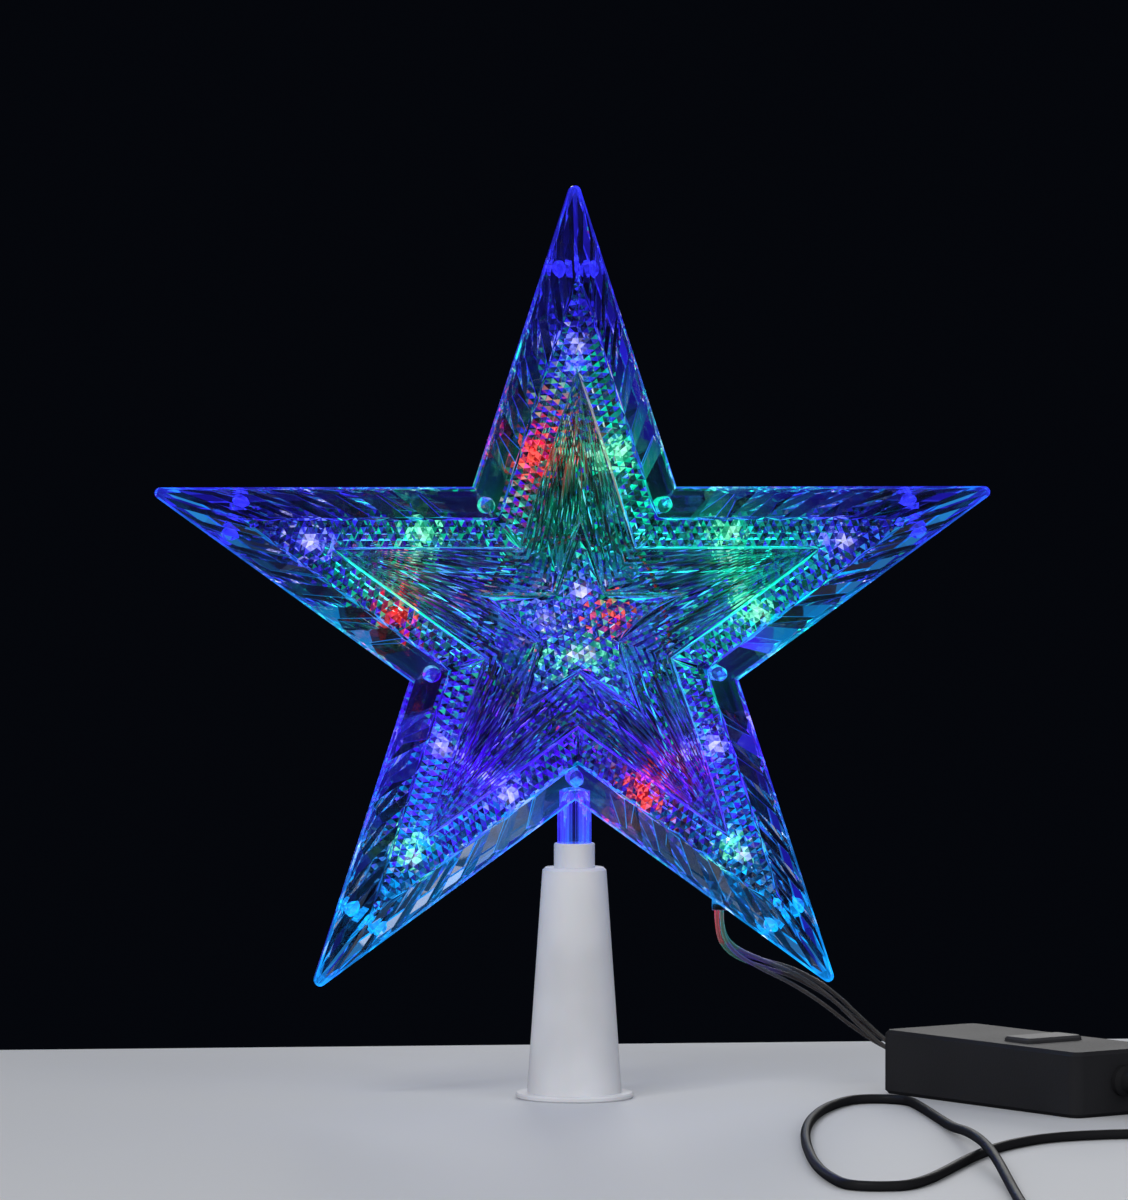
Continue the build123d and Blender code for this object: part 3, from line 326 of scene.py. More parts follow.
# The mains lead is a round black PVC cord, about a metre and a half long, held in the box's gland.
# It lies in a loose S before the box, and the rest is wound in a tied two-layer coil by its plug.
MAINS_POINTS = [
    (146.0, -75.96, 9.0), (148.5, -80.29, 9.0), (151.5, -87.5, 6.4), (152.0, -97.5, 2.6),
    (147.0, -107.5, 1.3), (136.0, -112.8, 1.3), (120.5, -113.5, 1.3), (106.0, -119.0, 1.3),
    (95.0, -131.0, 1.3), (86.0, -146.5, 1.3), (77.6, -165.5, 1.3), (69.6, -186.5, 1.3),
    (62.8, -203.4, 1.3), (56.3, -215.0, 1.3), (51.0, -217.4, 1.3), (45.3, -216.2, 1.3),
    (41.4, -211.8, 1.3), (40.3, -201.0, 1.3), (39.8, -186.0, 1.3), (40.4, -168.0, 1.3),
    (42.0, -148.0, 1.3), (44.4, -124.0, 1.3), (47.9, -98.0, 1.3), (52.6, -73.3, 1.3),
    (58.0, -52.7, 1.3), (63.6, -37.1, 1.3), (69.5, -26.1, 1.3), (75.0, -23.5, 1.3),
    (81.0, -24.9, 1.3), (84.9, -29.6, 1.3), (85.4, -40.0, 1.3), (85.7, -58.0, 1.3),
    (85.8, -78.0, 1.3), (85.3, -100.0, 1.9), (84.5, -122.0, 3.6), (83.6, -143.0, 4.6),
    (83.2, -161.0, 4.6), (82.4, -182.0, 3.4), (80.5, -208.0, 1.8), (77.6, -238.0, 1.3),
    (75.0, -266.0, 1.3), (74.4, -290.0, 2.1), (74.4, -311.0, 2.1),
]
PLUG_POINTS = [
    (97.5, -337.4, 5.2), (102.0, -337.4, 5.2), (108.5, -337.2, 6.0), (114.5, -337.0, 6.8),
    (119.0, -337.0, 6.8),
]
CORD_RADIUS = 1.25 * MM
CORD_BEVEL_STEPS = 5
COIL_CENTRE = (95.0, -316.0)
COIL_OUTER = 20.6
COIL_PITCH = 3.2
TURNS_IN = 3.5
TURNS_OUT = 3.75
COIL_LIFT = 2.1
COIL_LAYER = 3.1
CLIMB_TURNS = 0.5
POINTS_PER_TURN = 16
SPLINE_SWELL = 1 / cos(pi / POINTS_PER_TURN)
route = list(MAINS_POINTS)
for step in range(1, round((TURNS_IN + TURNS_OUT) * POINTS_PER_TURN)):
    turn = step / POINTS_PER_TURN
    reach = SPLINE_SWELL * (COIL_OUTER - COIL_PITCH * min(turn, 2 * TURNS_IN - turn))
    climb = min(max((turn - TURNS_IN + CLIMB_TURNS / 2) / CLIMB_TURNS, 0), 1)
    angle = pi + 2 * pi * turn
    route.append((COIL_CENTRE[0] + reach * cos(angle), COIL_CENTRE[1] + reach * sin(angle),
                  COIL_LIFT + COIL_LAYER * climb))
route += PLUG_POINTS
mains_cord = smooth_line("mains_cord", [Vector(p) * MM for p in route])
mains_cord.data.bevel_depth, mains_cord.data.bevel_resolution = CORD_RADIUS, CORD_BEVEL_STEPS
mains_cord.data.use_fill_caps = True

FINE_DETAIL = 3.0
DRIFT_SCALE = 40.0
DRIFT_STOPS = (0.3, 0.7)
DRIFT_SHARES = (0.88, 1.08)
GRAIN_HEIGHT = 0.2 * MM
GLOSS_IN_GRAIN = 0.12
GLOSS_IN_DRIFT = 0.1
GLOSS_MIDDLE = 0.1


def moulded(name, colour, roughness, grain, depth, **inputs):
    """A moulded or finished surface: a fine grain, with gloss and tone that drift a little."""
    material, tree, shader = surface(name, **inputs)
    fine, broad = grained(tree, grain, FINE_DETAIL), grained(tree, DRIFT_SCALE, SOFT_DETAIL)
    tones = ([part * share for part in colour] for share in DRIFT_SHARES)
    stops = tuple(zip(DRIFT_STOPS, tones))
    tone = node(tree, "ShaderNodeValToRGB", {"stops": stops}, {"Fac": broad}, "Color")
    relief = node(tree, "ShaderNodeBump", {}, {"Strength": depth, "Distance": GRAIN_HEIGHT, "Height": fine})
    gloss = fine * GLOSS_IN_GRAIN + broad * GLOSS_IN_DRIFT + (roughness - GLOSS_MIDDLE)
    feed(tree, shader, Base_Color=tone, Roughness=gloss, Normal=relief)
    return material


black_pvc = moulded("black_pvc", colour=(0.016, 0.016, 0.018), roughness=0.45, grain=2500.0, depth=0.12,
                    Specular_IOR_Level=0.45)
mains_cord.data.materials.append(black_pvc)
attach(mains_cord, "star")
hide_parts("mains_lead", "mains_coil", "mains_tail")

# The star is two clear polystyrene mouldings that meet face to face, each a thin faceted half.
# From the rim inwards: a ribbed border, a knurled band, fluted fans, and a raised knurled star.
STAR_RADIUS = 119.5 * MM
STAR_HEIGHT = 124.4 * MM
ARMS = 5
ARM_TURNS = [radians(90) + 2 * pi * arm / ARMS for arm in range(ARMS)]
HALF_TIP = radians(18)
NOTCH = radians(36)
NOTCH_SHARE = sin(HALF_TIP) / cos(NOTCH)
TIP_ROUND = 1.5 * MM
TIP_TURNS = [radians(turn) for turn in (72, 54, 36, 18, 0)]
PARTING_GAP = 0.03 * MM
WALL = 2.0 * MM
RIM_CHAMFER = 0.45 * MM
RIM_HEIGHT = 2.4 * MM
BORDER = 7.89 * MM
BAND = BORDER + 8.3 * MM
FAN = BAND + 11.23 * MM
CENTRE = FAN + 0.9 * MM
BAND_HEIGHT = 9.5 * MM
FAN_HEIGHT = 9.0 * MM
FAN_TOP = 11.0 * MM
CENTRE_HEIGHT = 15.0 * MM
RIBS = 6
RIB_RISE = 1.3 * MM
RIB_TOE_RISE = 1.2 * RIB_RISE
RIB_INNER = [10.4 * MM + step * (8.96 * MM) for step in range(RIBS + 1)]
RIB_OUTER = [11.1 * MM + step * (11.29 * MM) for step in range(RIBS + 1)]
RIB_BEVEL_SHARE = 0.2
CREST = 0.13 * MM
FLUTES = 9
FLUTE_RISE = 0.45 * MM
FLUTE_SHARES = (0.22, 0.42, 0.62, 0.81, 1.0)
RIDGE_STEPS = 18
BAND_KNURL = (4.66 * MM, 1.76 * MM)
CENTRE_KNURL = (5.28 * MM, 1.525 * MM)
CENTRE_ROWS = radians(98)
KNURL_RISE = 0.75 * MM
KNURL_MARGIN = 0.35 * MM
FEET_PER_PITCH = 3
MICRONS = 1e6
INSIDE_ONLY, MESH_SLACK = 1, 1e-9
HOLLOW = [  # inset and height of the wall's back, from the rim inwards
    (WALL, PARTING_GAP), (BORDER + 0.8 * MM, 7.0 * MM), (BAND + 1.5 * MM, 7.0 * MM),
    (FAN, 9.0 * MM), (CENTRE + 1.0 * MM, 9.0 * MM), (CENTRE + 1.0 * MM, 13.0 * MM),
]


def tip(inset):
    """The point of the arm along +X, on the star's outline moved in by an inset."""
    return Vector((STAR_RADIUS - inset / sin(HALF_TIP), 0))


def notch(inset):
    """The inner corner beside that arm, on the same outline."""
    return tip(inset).x * NOTCH_SHARE * Vector((cos(NOTCH), sin(NOTCH)))


def on_edge(inset, along):
    """The place at a distance from the notch towards the tip."""
    return notch(inset) + along * Vector((cos(HALF_TIP), -sin(HALF_TIP)))


def round_tip(inset):
    """Half of the rounded end of the arm, from its edge to its middle line."""
    middle, radius = STAR_RADIUS - TIP_ROUND / sin(HALF_TIP), TIP_ROUND - inset
    return [Vector((middle + radius * cos(turn), radius * sin(turn))) for turn in TIP_TURNS]


def lift(place, height):
    """A place in the star's plane, at a height above the parting line."""
    return (place.x, place.y, height)


def well_inside(place, outline):
    """True if a point is in an outline and a margin away from its edges."""
    crossings, near = 0, False
    for first, second in zip(outline, outline[1:] + outline[:1]):
        run = second - first
        share = min(max((place - first).dot(run) / run.length_squared, 0), 1)
        near = near or (place - first - share * run).length < KNURL_MARGIN
        if (first.y > place.y) != (second.y > place.y):
            crossings += place.x < first.x + (place.y - first.y) / (second.y - first.y) * run.x
    return crossings % 2 == 1 and not near


def knurled(outline, height, origin, way, pitch, row_gap, peaks=()):
    """Triangles of six-sided pyramids in rows along a direction, cut to an outline with its own peaks."""
    side = Vector((-way.y, way.x))
    reach = max((place - origin).length for place in outline)
    rows, steps = int(reach / row_gap) + 1, int(reach / pitch) + 1
    foot = pitch / FEET_PER_PITCH
    seeds = {}
    for row in range(-rows, rows + 1):
        for step in range(-steps, steps + 1):
            along = (step + row % 2 / 2) * pitch
            for shift, rise in ((0, KNURL_RISE), (foot, 0), (-foot, 0)):
                place = origin + (along + shift) * way + row * row_gap * side
                seeds[(round(place.x * MICRONS), round(place.y * MICRONS))] = (place, rise)
    inside = [(p, rise) for p, rise in seeds.values() if well_inside(p, outline)]
    places = list(outline) + [p for p, rise in inside]
    rises = [KNURL_RISE * (place in peaks) for place in outline] + [rise for p, rise in inside]
    ring = [(step, (step + 1) % len(outline)) for step in range(len(outline))]
    found, _, faces, sources, _, _ = delaunay_2d_cdt(places, ring, [], INSIDE_ONLY, MESH_SLACK)
    heights = [height + max(rises[s] for s in source) for source in sources]
    return [[lift(found[corner], heights[corner]) for corner in face] for face in faces]


def rib_faces(out_a, out_b, in_a, in_b):
    """One rib of the border: two long slopes with a narrow crest between them, and a slope at each end."""
    out_middle, crest_in = (out_a + out_b) / 2, (in_a + in_b) / 2
    crest_out = out_middle + RIB_BEVEL_SHARE * (crest_in - out_middle)
    toe = RIM_HEIGHT + RIB_BEVEL_SHARE * (BAND_HEIGHT - RIM_HEIGHT) + RIB_TOE_RISE
    half = CREST * (out_b - out_a).normalized()
    crest_a, crest_b = lift(crest_out - half, toe), lift(crest_out + half, toe)
    head_a, head_b = (lift(place, BAND_HEIGHT + RIB_RISE) for place in (crest_in - half, crest_in + half))
    a, b = lift(out_a, RIM_HEIGHT), lift(out_b, RIM_HEIGHT)
    c, d = lift(in_b, BAND_HEIGHT), lift(in_a, BAND_HEIGHT)
    return [("rib", [a, crest_a, head_a, d]), ("rib", [crest_b, b, c, head_b]),
            ("crest", [crest_a, crest_b, head_b, head_a]), ("bevel", [a, b, crest_b, crest_a]),
            ("rib", [d, head_a, head_b, c])]


def border_faces(low, outer, inner):
    """The upright rim with its chamfered lip, and the border that slopes up from it in ribs."""
    faces = []
    lip = round_tip(RIM_CHAMFER)
    lip_line = [notch(RIM_CHAMFER)] + outer + lip
    rim_top = RIM_HEIGHT - RIM_CHAMFER
    for a, b, c, d in zip(low, low[1:], lip_line[1:], lip_line):
        faces.append(("rim", [lift(a, PARTING_GAP), lift(b, PARTING_GAP),
                              lift(b, rim_top), lift(a, rim_top)]))
        faces.append(("lip", [lift(a, rim_top), lift(b, rim_top),
                              lift(c, RIM_HEIGHT), lift(d, RIM_HEIGHT)]))
    faces.append(("border", [lift(notch(RIM_CHAMFER), RIM_HEIGHT), lift(outer[0], RIM_HEIGHT),
                             lift(inner[0], BAND_HEIGHT), lift(notch(BORDER), BAND_HEIGHT)]))
    for ends in zip(outer, outer[1:], inner, inner[1:]):
        faces += rib_faces(*ends)
    faces.append(("border", [lift(p, RIM_HEIGHT) for p in outer[-1:] + lip]
                  + [lift(tip(BORDER), BAND_HEIGHT), lift(inner[-1], BAND_HEIGHT)]))
    return faces


def band_faces(inner):
    """The flat band, knurled from the border to the fan, with pyramids along the arm's middle line too."""
    ridge = [tip(BORDER).lerp(tip(BAND), step / RIDGE_STEPS) for step in range(RIDGE_STEPS + 1)]
    band = [notch(BORDER)] + inner + ridge + [notch(BAND)]
    way = (tip(BORDER) - notch(BORDER)).normalized()
    middle = (tip(BORDER) + tip(BAND)) / 2
    return [("knurl", corners) for corners in
            knurled(band, BAND_HEIGHT, middle, way, *BAND_KNURL, ridge[1:-1:2])]


def crossing(start, ray, first, second):
    """How far along a ray it meets the line through two points."""
    run, gap = second - first, first - start
    return (gap.x * run.y - gap.y * run.x) / (ray.x * run.y - ray.y * run.x)


def fan_faces():
    """The step down from the band, flutes that fan out from its tip, and the step up to the raised star."""
    apex, root, rays, foot = tip(BAND), notch(FAN), [], []
    brink = lift(notch(BAND), BAND_HEIGHT)
    sill = [lift(apex.lerp(notch(BAND), share), FAN_HEIGHT) for share in (0, *FLUTE_SHARES)]
    faces = [("step", [brink, a, b]) for a, b in zip([lift(apex, BAND_HEIGHT)] + sill, sill)]
    for step in range(2 * FLUTES + 1):
        turn = HALF_TIP * step / (2 * FLUTES)
        ray = Vector((-cos(turn), sin(turn)))
        hit = apex + ray * crossing(apex, ray, tip(FAN), root)
        beyond = hit.y > root.y
        if beyond:
            hit = apex + ray * crossing(apex, ray, root, notch(BAND))
        wave = FLUTE_RISE * (hit - apex).length / (tip(FAN) - apex).length * (step % 2)
        line = []
        for share in FLUTE_SHARES:
            place = apex + share * (hit - apex)
            depth = max((apex - place).dot(Vector((sin(HALF_TIP), cos(HALF_TIP)))), 0)
            slope = (FAN_TOP - FAN_HEIGHT) * depth / (FAN - BAND)
            line.append(lift(place, FAN_HEIGHT + slope + share * wave))
        rays.append(line)
        foot += [] if beyond else [line[-1]]
    last = len(FLUTE_SHARES) - 1
    for step, (near, far) in enumerate(zip(rays, rays[1:])):
        faces.append(("flute", [lift(apex, FAN_HEIGHT), far[0], near[0]]))
        for end in range(1, last + 1):
            bend = [lift(root, FAN_TOP)] if end == last and step == len(foot) - 1 else []
            faces.append(("flute", [near[end - 1], far[end - 1], far[end]] + bend + [near[end]]))
    foot.append(lift(root, FAN_TOP))
    peak = lift(tip(CENTRE), CENTRE_HEIGHT)
    faces += [("step", [peak, low_end, high_end]) for low_end, high_end in zip(foot, foot[1:])]
    faces.append(("step", [peak, lift(root, FAN_TOP), lift(notch(CENTRE), CENTRE_HEIGHT)]))
    return faces


def hollow_faces(low):
    """The back of the wall, and the flat joint round the rim where the halves meet."""
    faces = []
    wall_line = [notch(WALL)] + [on_edge(WALL, along) for along in RIB_OUTER[:-1]] + [tip(WALL)]
    for (inset_a, height_a), (inset_b, height_b) in zip(HOLLOW, HOLLOW[1:]):
        foot_line = wall_line if inset_a == WALL else [notch(inset_a), tip(inset_a)]
        faces.append(("inside", [lift(p, height_a) for p in foot_line]
                      + [lift(tip(inset_b), height_b), lift(notch(inset_b), height_b)]))
    inset, height = HOLLOW[-1]
    faces.append(("inside", [(0, 0, height), lift(tip(inset), height), lift(notch(inset), height)]))
    for corners in zip(low, low[1:], wall_line[1:], wall_line):
        faces.append(("joint", [lift(p, PARTING_GAP) for p in corners]))
    faces.append(("joint", [lift(p, PARTING_GAP) for p in low[len(wall_line) - 1:] + wall_line[-1:]]))
    return faces


def half_arm():
    """Faces of half an arm that points along +X, as (kind, corners), seen from the front."""
    low = [notch(0)] + [on_edge(0, along) for along in RIB_OUTER] + round_tip(0)
    outer = [on_edge(RIM_CHAMFER, along) for along in RIB_OUTER]
    inner = [on_edge(BORDER, along) for along in RIB_INNER]
    return border_faces(low, outer, inner) + band_faces(inner) + fan_faces() + hollow_faces(low)


def turned(corners, turn, flip):
    """Corners turned about the star's middle, and mirrored first where flip is -1."""
    return [(x * cos(turn) - flip * y * sin(turn), x * sin(turn) + flip * y * cos(turn), h)
            for x, y, h in corners]


sector = half_arm()
star_face, centre_outline = [], []
for turn in ARM_TURNS:
    for flip in (1, -1):
        star_face += [(kind, turned(corners, turn, flip)) for kind, corners in sector]
    for x, y, _ in turned([lift(tip(CENTRE), 0), lift(notch(CENTRE), 0)], turn, 1):
        centre_outline.append(Vector((x, y)))
rows_way = Vector((cos(CENTRE_ROWS), sin(CENTRE_ROWS)))
star_face += [("raised knurl", corners) for corners in
              knurled(centre_outline, CENTRE_HEIGHT, Vector((0, 0)), rows_way, *CENTRE_KNURL)]

# Round bosses moulded in the halves meet at the parting line. In each arm a pair stands near the tip,
# one at the notch and a pair near the middle. Below the lowest notch each half ends in half of the
# tubular stem that plugs into the tree socket.
BOSS_RADIUS = 2.35 * MM
BOSS_FOOT = 2 * PARTING_GAP
BOSS_SIDES = 16
BOSS_TURNS = [2 * pi * step / BOSS_SIDES for step in range(BOSS_SIDES)]
BOSSES = [  # millimetres out and aside from the middle, degrees from the arm's line, and height
    ("tip boss", 94.0, 3.7, 0, 4.2),
    ("tip boss", 94.0, -3.7, 0, 4.2),
    ("notch boss", 39.3, 0, 36, 4.4),
    ("core boss", 20.0, 2.5, 36, 8.2),
    ("core boss", 20.0, -2.5, 36, 8.2),
]
STEM_RADIUS = 4.5 * MM
STEM_BORE = 2.4 * MM
STEM_BOTTOM = 60.2 * MM - STAR_HEIGHT
STEM_TOP = -42.6 * MM
STEM_STEPS = 10
for arm in range(ARMS):
    for kind, along, aside, lean, height in BOSSES:
        turn = radians(90 + lean) + 2 * pi * arm / ARMS
        x = along * MM * cos(turn) - aside * MM * sin(turn)
        y = along * MM * sin(turn) + aside * MM * cos(turn)
        ring = [(x + BOSS_RADIUS * cos(t), y + BOSS_RADIUS * sin(t)) for t in BOSS_TURNS]
        foot, head = [(*p, BOSS_FOOT) for p in ring], [(*p, height * MM) for p in ring]
        for a, b, c, d in zip(foot, foot[1:] + foot[:1], head[1:] + head[:1], head):
            star_face.append((kind, [a, b, c, d]))
        star_face += [(kind, head), (kind, foot[::-1])]
arc = [pi * step / STEM_STEPS for step in range(STEM_STEPS + 1)]
section = [(STEM_RADIUS * cos(t), PARTING_GAP + STEM_RADIUS * sin(t)) for t in arc]
section += [(STEM_BORE * cos(t), PARTING_GAP + STEM_BORE * sin(t)) for t in reversed(arc)]
for (ax, ah), (bx, bh) in zip(section, section[1:] + section[:1]):
    star_face.append(("stem", [(ax, STEM_BOTTOM, ah), (bx, STEM_BOTTOM, bh),
                               (bx, STEM_TOP, bh), (ax, STEM_TOP, ah)]))
for y in (STEM_BOTTOM, STEM_TOP):
    for step in range(STEM_STEPS):
        corners = section[step], section[step + 1], section[-2 - step], section[-1 - step]
        star_face.append(("stem", [(x, y, height) for x, height in corners]))

# Twenty lamps light the star from inside. Their light in the shells is painted: each facet is given a
# glow in the colour of the lamps that it faces. That painted glow is worked out at each facet's corners,
# or at its middle on the knurl, and is kept on the shells' meshes as a colour attribute that the plastic
# emits.
LAMP_PLACES = {  # millimetres out and aside from the middle along an arm, and power
    "tip": (74.0, 0.0, 1.0),
    "left": (46.5, 11.0, 1.0),
    "right": (46.5, -11.0, 1.0),
    "core": (9.8, 0.0, 0.5),
    "dim core": (9.8, 0.0, 0.3),
    "low left core": (6.5, 2.2, 0.5),
    "low right core": (6.5, -2.2, 0.5),
}
LAMP_SETS = {  # colour, spread, paleness by the lamp, and the arm and place of each lamp
    "red": ((0.8, 0.007, 0.007), 0.35, 0.0, [(0, "left"), (1, "left"), (3, "right"), (4, "dim core")]),
    "green": ((0.0, 0.65, 0.33), 1.8, 0.7, [(0, "right"), (1, "right"), (4, "left"), (4, "right")]),
    "cyan": ((0.0, 0.38, 1.1), 2.6, 1.6, [(2, "tip"), (3, "tip")]),
    "sea": ((0.0, 0.50, 0.55), 0.6, 1.2, [(2, "low left core"), (3, "low right core")]),
    "blue": ((0.035, 0.022, 1.2), 1.7, 2.2, [(0, "tip"), (1, "tip"), (4, "tip"), (0, "core")]),
    "dusk": ((0.035, 0.022, 1.2), 1.7, 0.5, [(1, "core")]),
    "violet": ((0.09, 0.0, 1.8), 3.0, 2.6, [(2, "left"), (2, "right"), (3, "left")]),
}
# Painted glow by kind of facet; the high gains paint bright lines on the crests, rims, lips and joints.
KIND_PAINTED_GLOW = {  # gain, and how much it differs from facet to facet
    "rim": (2.0, 0.3), "lip": (3.2, 0.4), "border": (0.05, 0.2), "rib": (0.22, 1.0), "crest": (10.0, 0.6),
    "bevel": (0.7, 0.8), "knurl": (0.95, 0.85), "raised knurl": (1.1, 0.85), "step": (0.15, 0.4),
    "flute": (0.2, 1.0), "inside": (0.0, 0.0), "joint": (2.5, 0.3), "tip boss": (0.45, 0.6),
    "notch boss": (2.0, 0.3), "core boss": (0.25, 0.3), "stem": (0.5, 0.2),
}
KINDS = list(KIND_PAINTED_GLOW)
# Painted glow: a hot pale spot by each lamp, then a near and a far wash, with painted glints, tip brightening
# and knurl flashes.
HOT, NEAR, FAR = 1.0, 0.9, 0.32
HOT_REACH = 2.4 * MM
NEAR_REACH = 8.0 * MM
FAR_REACH = 40.0 * MM
FLAT_CATCH = 0.03
FULL_LEAN = 0.45
MOST_CATCH = 1.3
CATCH_POWER = 3
PALE_POWER = 3
STRONGEST = 4
GLOW_LIMIT = 1.3
GOLDEN = 0.618034
TWINKLE, TWINKLE_POWER = 4, 3
TIP_LIGHT = 25.0
TIP_REACH = 13.0 * MM
TIP_KINDS = ("rim", "lip", "joint")
FLASH_KINDS = ("knurl", "raised knurl")
FLASH_WAY = Vector((0.35, 0.94))
FLASH, UNLIT = 2.5, 0.09
FLASH_POWER = 3
FLUTE_FULL = 50.0 * MM
FLUTE_POWER = 2
NO_LIGHT, NO_GAP = 1e-12, 1e-6
WHITE = Vector((1, 1, 1))
lamps = []
for colour, spread, pale, spots in LAMP_SETS.values():
    for arm, place in spots:
        along, aside, power = LAMP_PLACES[place]
        turn = ARM_TURNS[arm]
        spot = Vector((along * cos(turn) - aside * sin(turn), along * sin(turn) + aside * cos(turn)))
        lamps.append((spot * MM, power, spread, pale, colour))


def painted_glow_of(kind, place, lean, seed):
    """A facet's painted glow at a place: pale by a lamp, and elsewhere in the colour of the lamp it leans to
    most.
    """
    gain, contrast = KIND_PAINTED_GLOW[kind]
    # A random few facets get a painted glint that twinkles.
    twinkle = 1 - contrast + TWINKLE * contrast * (seed * GOLDEN % 1) ** TWINKLE_POWER
    # On the knurl, facets that lean up or down get a painted flash, and the rest stay dim.
    if kind in FLASH_KINDS:
        gain *= UNLIT + FLASH * min(abs(lean.dot(FLASH_WAY)) / FULL_LEAN, 1) ** FLASH_POWER
    if kind == "tip boss":
        lean = -place.normalized()
    # Flutes get less painted glow towards the star's middle.
    if kind == "flute":
        gain *= min(place.length / FLUTE_FULL, 1) ** FLUTE_POWER
    # Rims, lips and joints are painted brighter towards the arm tips.
    if kind in TIP_KINDS:
        gain *= 1 + TIP_LIGHT * exp((place.length - STAR_RADIUS) / TIP_REACH)
    total, mixed, white = NO_LIGHT, Vector((0, 0, 0)), 0
    for spot, power, spread, pale, colour in lamps:
        gap = spot - place
        facing = max(lean.dot(gap) / max(gap.length, NO_GAP), 0) / FULL_LEAN
        catch = FLAT_CATCH + min(facing, MOST_CATCH) ** CATCH_POWER
        hot = HOT * exp(-(gap.length / HOT_REACH) ** 2)
        wash = NEAR * exp(-gap.length / NEAR_REACH) + spread * FAR * exp(-gap.length / FAR_REACH)
        weight = power * (hot + catch * wash)
        total += weight ** STRONGEST
        mixed += weight ** (STRONGEST + 1) * Vector(colour)
        white += pale * hot ** PALE_POWER
    painted_glow = gain * twinkle * (mixed / total + white * WHITE)
    return painted_glow * GLOW_LIMIT / (GLOW_LIMIT + max(painted_glow))


CLEAR_TINT = (0.97, 0.985, 1.0, 1)
CLEAR_ROUGHNESS = 0.03
MERGE = 0.002 * MM
# The clear shells emit the painted glow kept on their meshes, in place of the lamps' light carried through
# the plastic.
clear_plastic, tree, shader = surface("clear_polystyrene_painted_glow", Base_Color=CLEAR_TINT, Roughness=CLEAR_ROUGHNESS,
                                      IOR=PLASTIC_IOR, Transmission_Weight=1.0, Emission_Strength=1.0)
feed(tree, shader, Emission_Color=painted_glow_colour(tree))
for name, side in (("front_shell", -1), ("back_shell", 1)):
    shell = bmesh.new()
    tag = shell.faces.layers.int.new("kind")
    for kind, corners in star_face:
        face = shell.faces.new([shell.verts.new((x, side * h, STAR_HEIGHT + y)) for x, y, h in corners])
        face[tag] = KINDS.index(kind)
    bmesh.ops.remove_doubles(shell, verts=shell.verts, dist=MERGE)
    bmesh.ops.triangulate(shell, faces=[f for f in shell.faces if len(f.verts) > 4])
    bmesh.ops.recalc_face_normals(shell, faces=shell.faces)
    painted_glow = shell.loops.layers.float_color.new("painted_glow")
    for index, face in enumerate(shell.faces):
        kind, middle = KINDS[face[tag]], face.calc_center_median()
        lean = Vector((face.normal.x, face.normal.z))
        for loop in face.loops:
            spot = middle if kind in FLASH_KINDS else loop.vert.co
            loop[painted_glow] = (*painted_glow_of(kind, Vector((spot.x, spot.z - STAR_HEIGHT)), lean, index), 1)
    made = piece(f"clear_{name}", shell, clear_plastic, "star")
    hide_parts(name)

# Each lamp is a flanged barrel of tinted resin that shines in small cells, from dim to pale.
# Its two legs go into a clear shrink sleeve, and the sleeves sit on a loop and a ring of thin wire.
LENS_LIGHT = {  # colour, and how pale its bright spots are
    "red": ((1.0, 0.03, 0.02), 0.08),
    "green": ((0.03, 0.95, 0.45), 0.18),
    "blue": ((0.05, 0.10, 1.0), 0.15),
}
LENS_STRENGTH = 1.4
LENS_ROUGHNESS = 0.2
LENS_CELLS = 800.0
LENS_STOPS = (0.4, 0.9)
DIM_SHARE = 0.12


def dress(material, *names):
    """Gives CAD nodes a finish, in place of the plain one that they come with."""
    for name in names:
        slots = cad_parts[name].data.materials
        slots.clear()
        slots.append(material)


for colour, (light, paleness) in LENS_LIGHT.items():
    lens, tree, shader = surface(f"{colour}_lens", Base_Color=(*light, 1), Roughness=LENS_ROUGHNESS,
                                 Emission_Strength=LENS_STRENGTH)
    spot = node(tree, "ShaderNodeTexCoord", {}, {}, "Object")
    cell = node(tree, "ShaderNodeTexVoronoi", {}, {"Vector": spot, "Scale": LENS_CELLS}, "Color")
    dim, pale = [part * DIM_SHARE for part in light], [paleness + (1 - paleness) * part for part in light]
    stops = tuple(zip(LENS_STOPS, (dim, pale)))
    shine = node(tree, "ShaderNodeValToRGB", {"stops": stops}, {"Fac": cell}, "Color")
    feed(tree, shader, Emission_Color=shine)
    dress(lens, f"{colour}_lamps")
clear_pvc = moulded("clear_pvc", colour=(0.88, 0.91, 0.94), roughness=0.2, grain=1200.0, depth=0.08,
                    Transmission_Weight=1.0, IOR=1.45)
dress(clear_pvc, "arm_lamp_sleeves", "core_lamp_sleeves", "outlet_bush")
dress(copper, "arm_wiring", "core_wiring", "lead_tail")

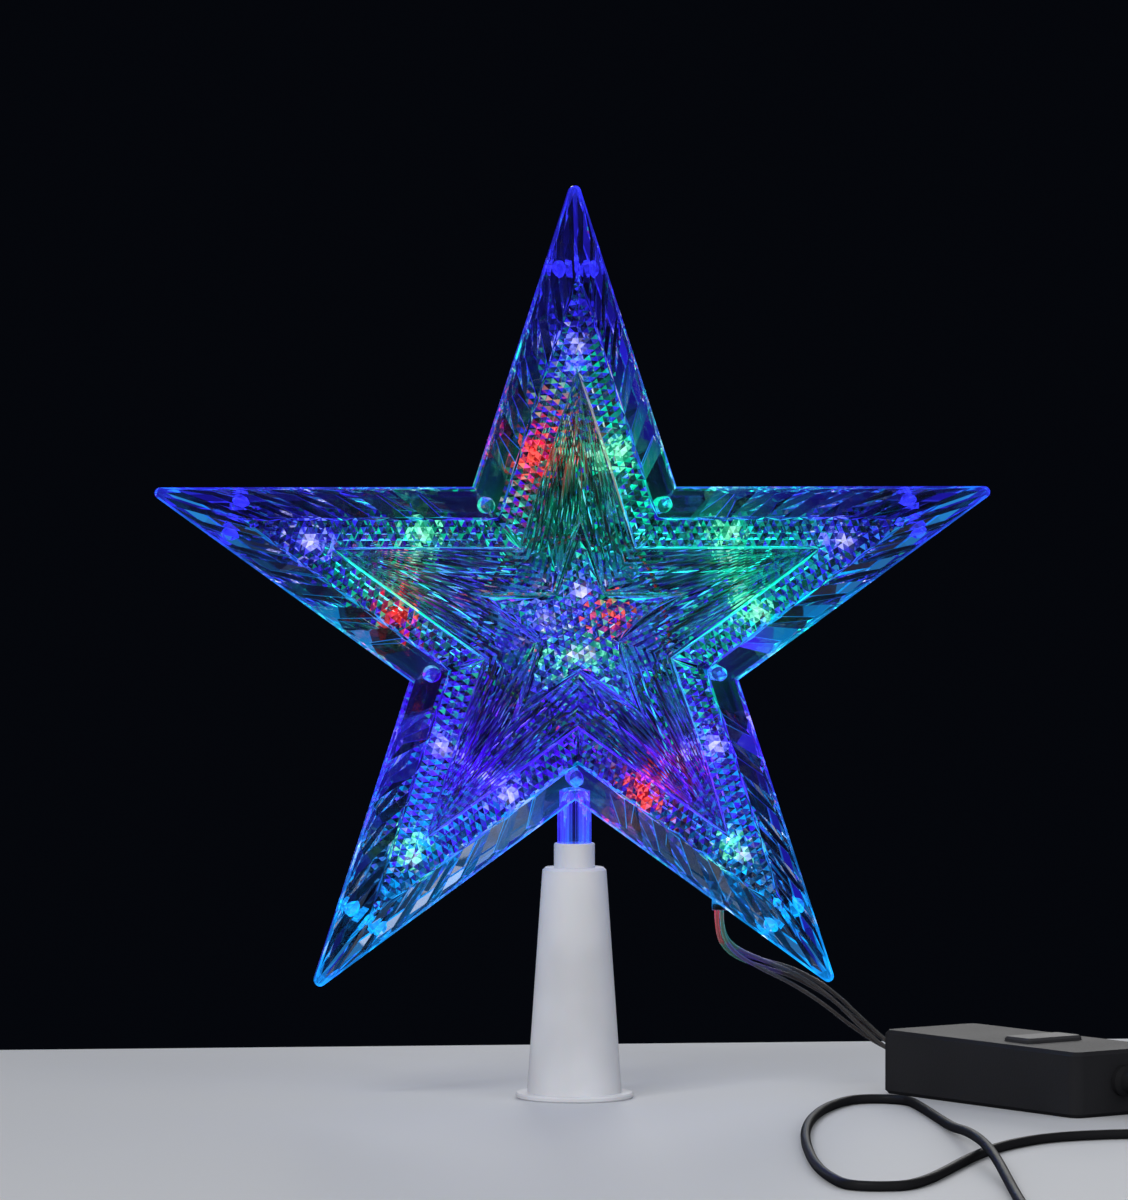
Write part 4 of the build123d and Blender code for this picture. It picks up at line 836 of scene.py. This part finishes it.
# The tree socket is a hollow white cone with a flange to stand on and a collar round the stem.
# It is moulded in one piece with a satin skin, and turns on the stem that is pushed into it.
white_plastic = moulded("white_plastic", colour=(0.80, 0.80, 0.83), roughness=0.42, grain=1800.0, depth=0.06,
                        Subsurface_Weight=0.08, Subsurface_Scale=0.002)
dress(white_plastic, "tree_socket")

# The mode box is a black tray and lid that meet at mid height, with a broad flat button in the lid.
# Inside, a small board carries a chip, four drivers, a capacitor and the switch under the button.
# A soft black gland at each end holds a lead.
black_plastic = moulded("black_plastic", colour=(0.022, 0.022, 0.025), roughness=0.5, grain=1600.0,
                        depth=0.25)
button_plastic = moulded("button_plastic", colour=(0.05, 0.05, 0.055), roughness=0.4, grain=2200.0,
                         depth=0.15)
laminate = moulded("board_laminate", colour=(0.04, 0.24, 0.12), roughness=0.45, grain=900.0, depth=0.1)
epoxy = moulded("component_epoxy", colour=(0.03, 0.03, 0.03), roughness=0.6, grain=2000.0, depth=0.2)
blue_sleeve = moulded("capacitor_sleeve", colour=(0.04, 0.06, 0.20), roughness=0.3, grain=800.0, depth=0.05)
red_plastic = moulded("plunger_plastic", colour=(0.55, 0.10, 0.08), roughness=0.4, grain=1500.0, depth=0.1)
dress(black_plastic, "box_tray", "box_lid")
dress(button_plastic, "mode_button")
dress(black_pvc, "lead_gland", "mains_gland")
dress(laminate, "circuit_board")
dress(epoxy, "mode_chip", "lamp_drivers", "mode_switch")
dress(blue_sleeve, "capacitor")
dress(red_plastic, "switch_plunger")

# The plug is a flat black body moulded on the cord, with two round nickel prongs that are part sleeved.
# The tie is a flat plastic strap drawn round the coil.
tie_plastic = moulded("tie_plastic", colour=(0.05, 0.05, 0.052), roughness=0.55, grain=3000.0, depth=0.3)
nickel = moulded("prong_metal", colour=(0.72, 0.71, 0.68), roughness=0.25, grain=2600.0, depth=0.05,
                 Metallic=1.0)
dress(black_pvc, "plug_body", "prong_sleeves")
dress(nickel, "plug_prongs")
dress(tie_plastic, "coil_tie")
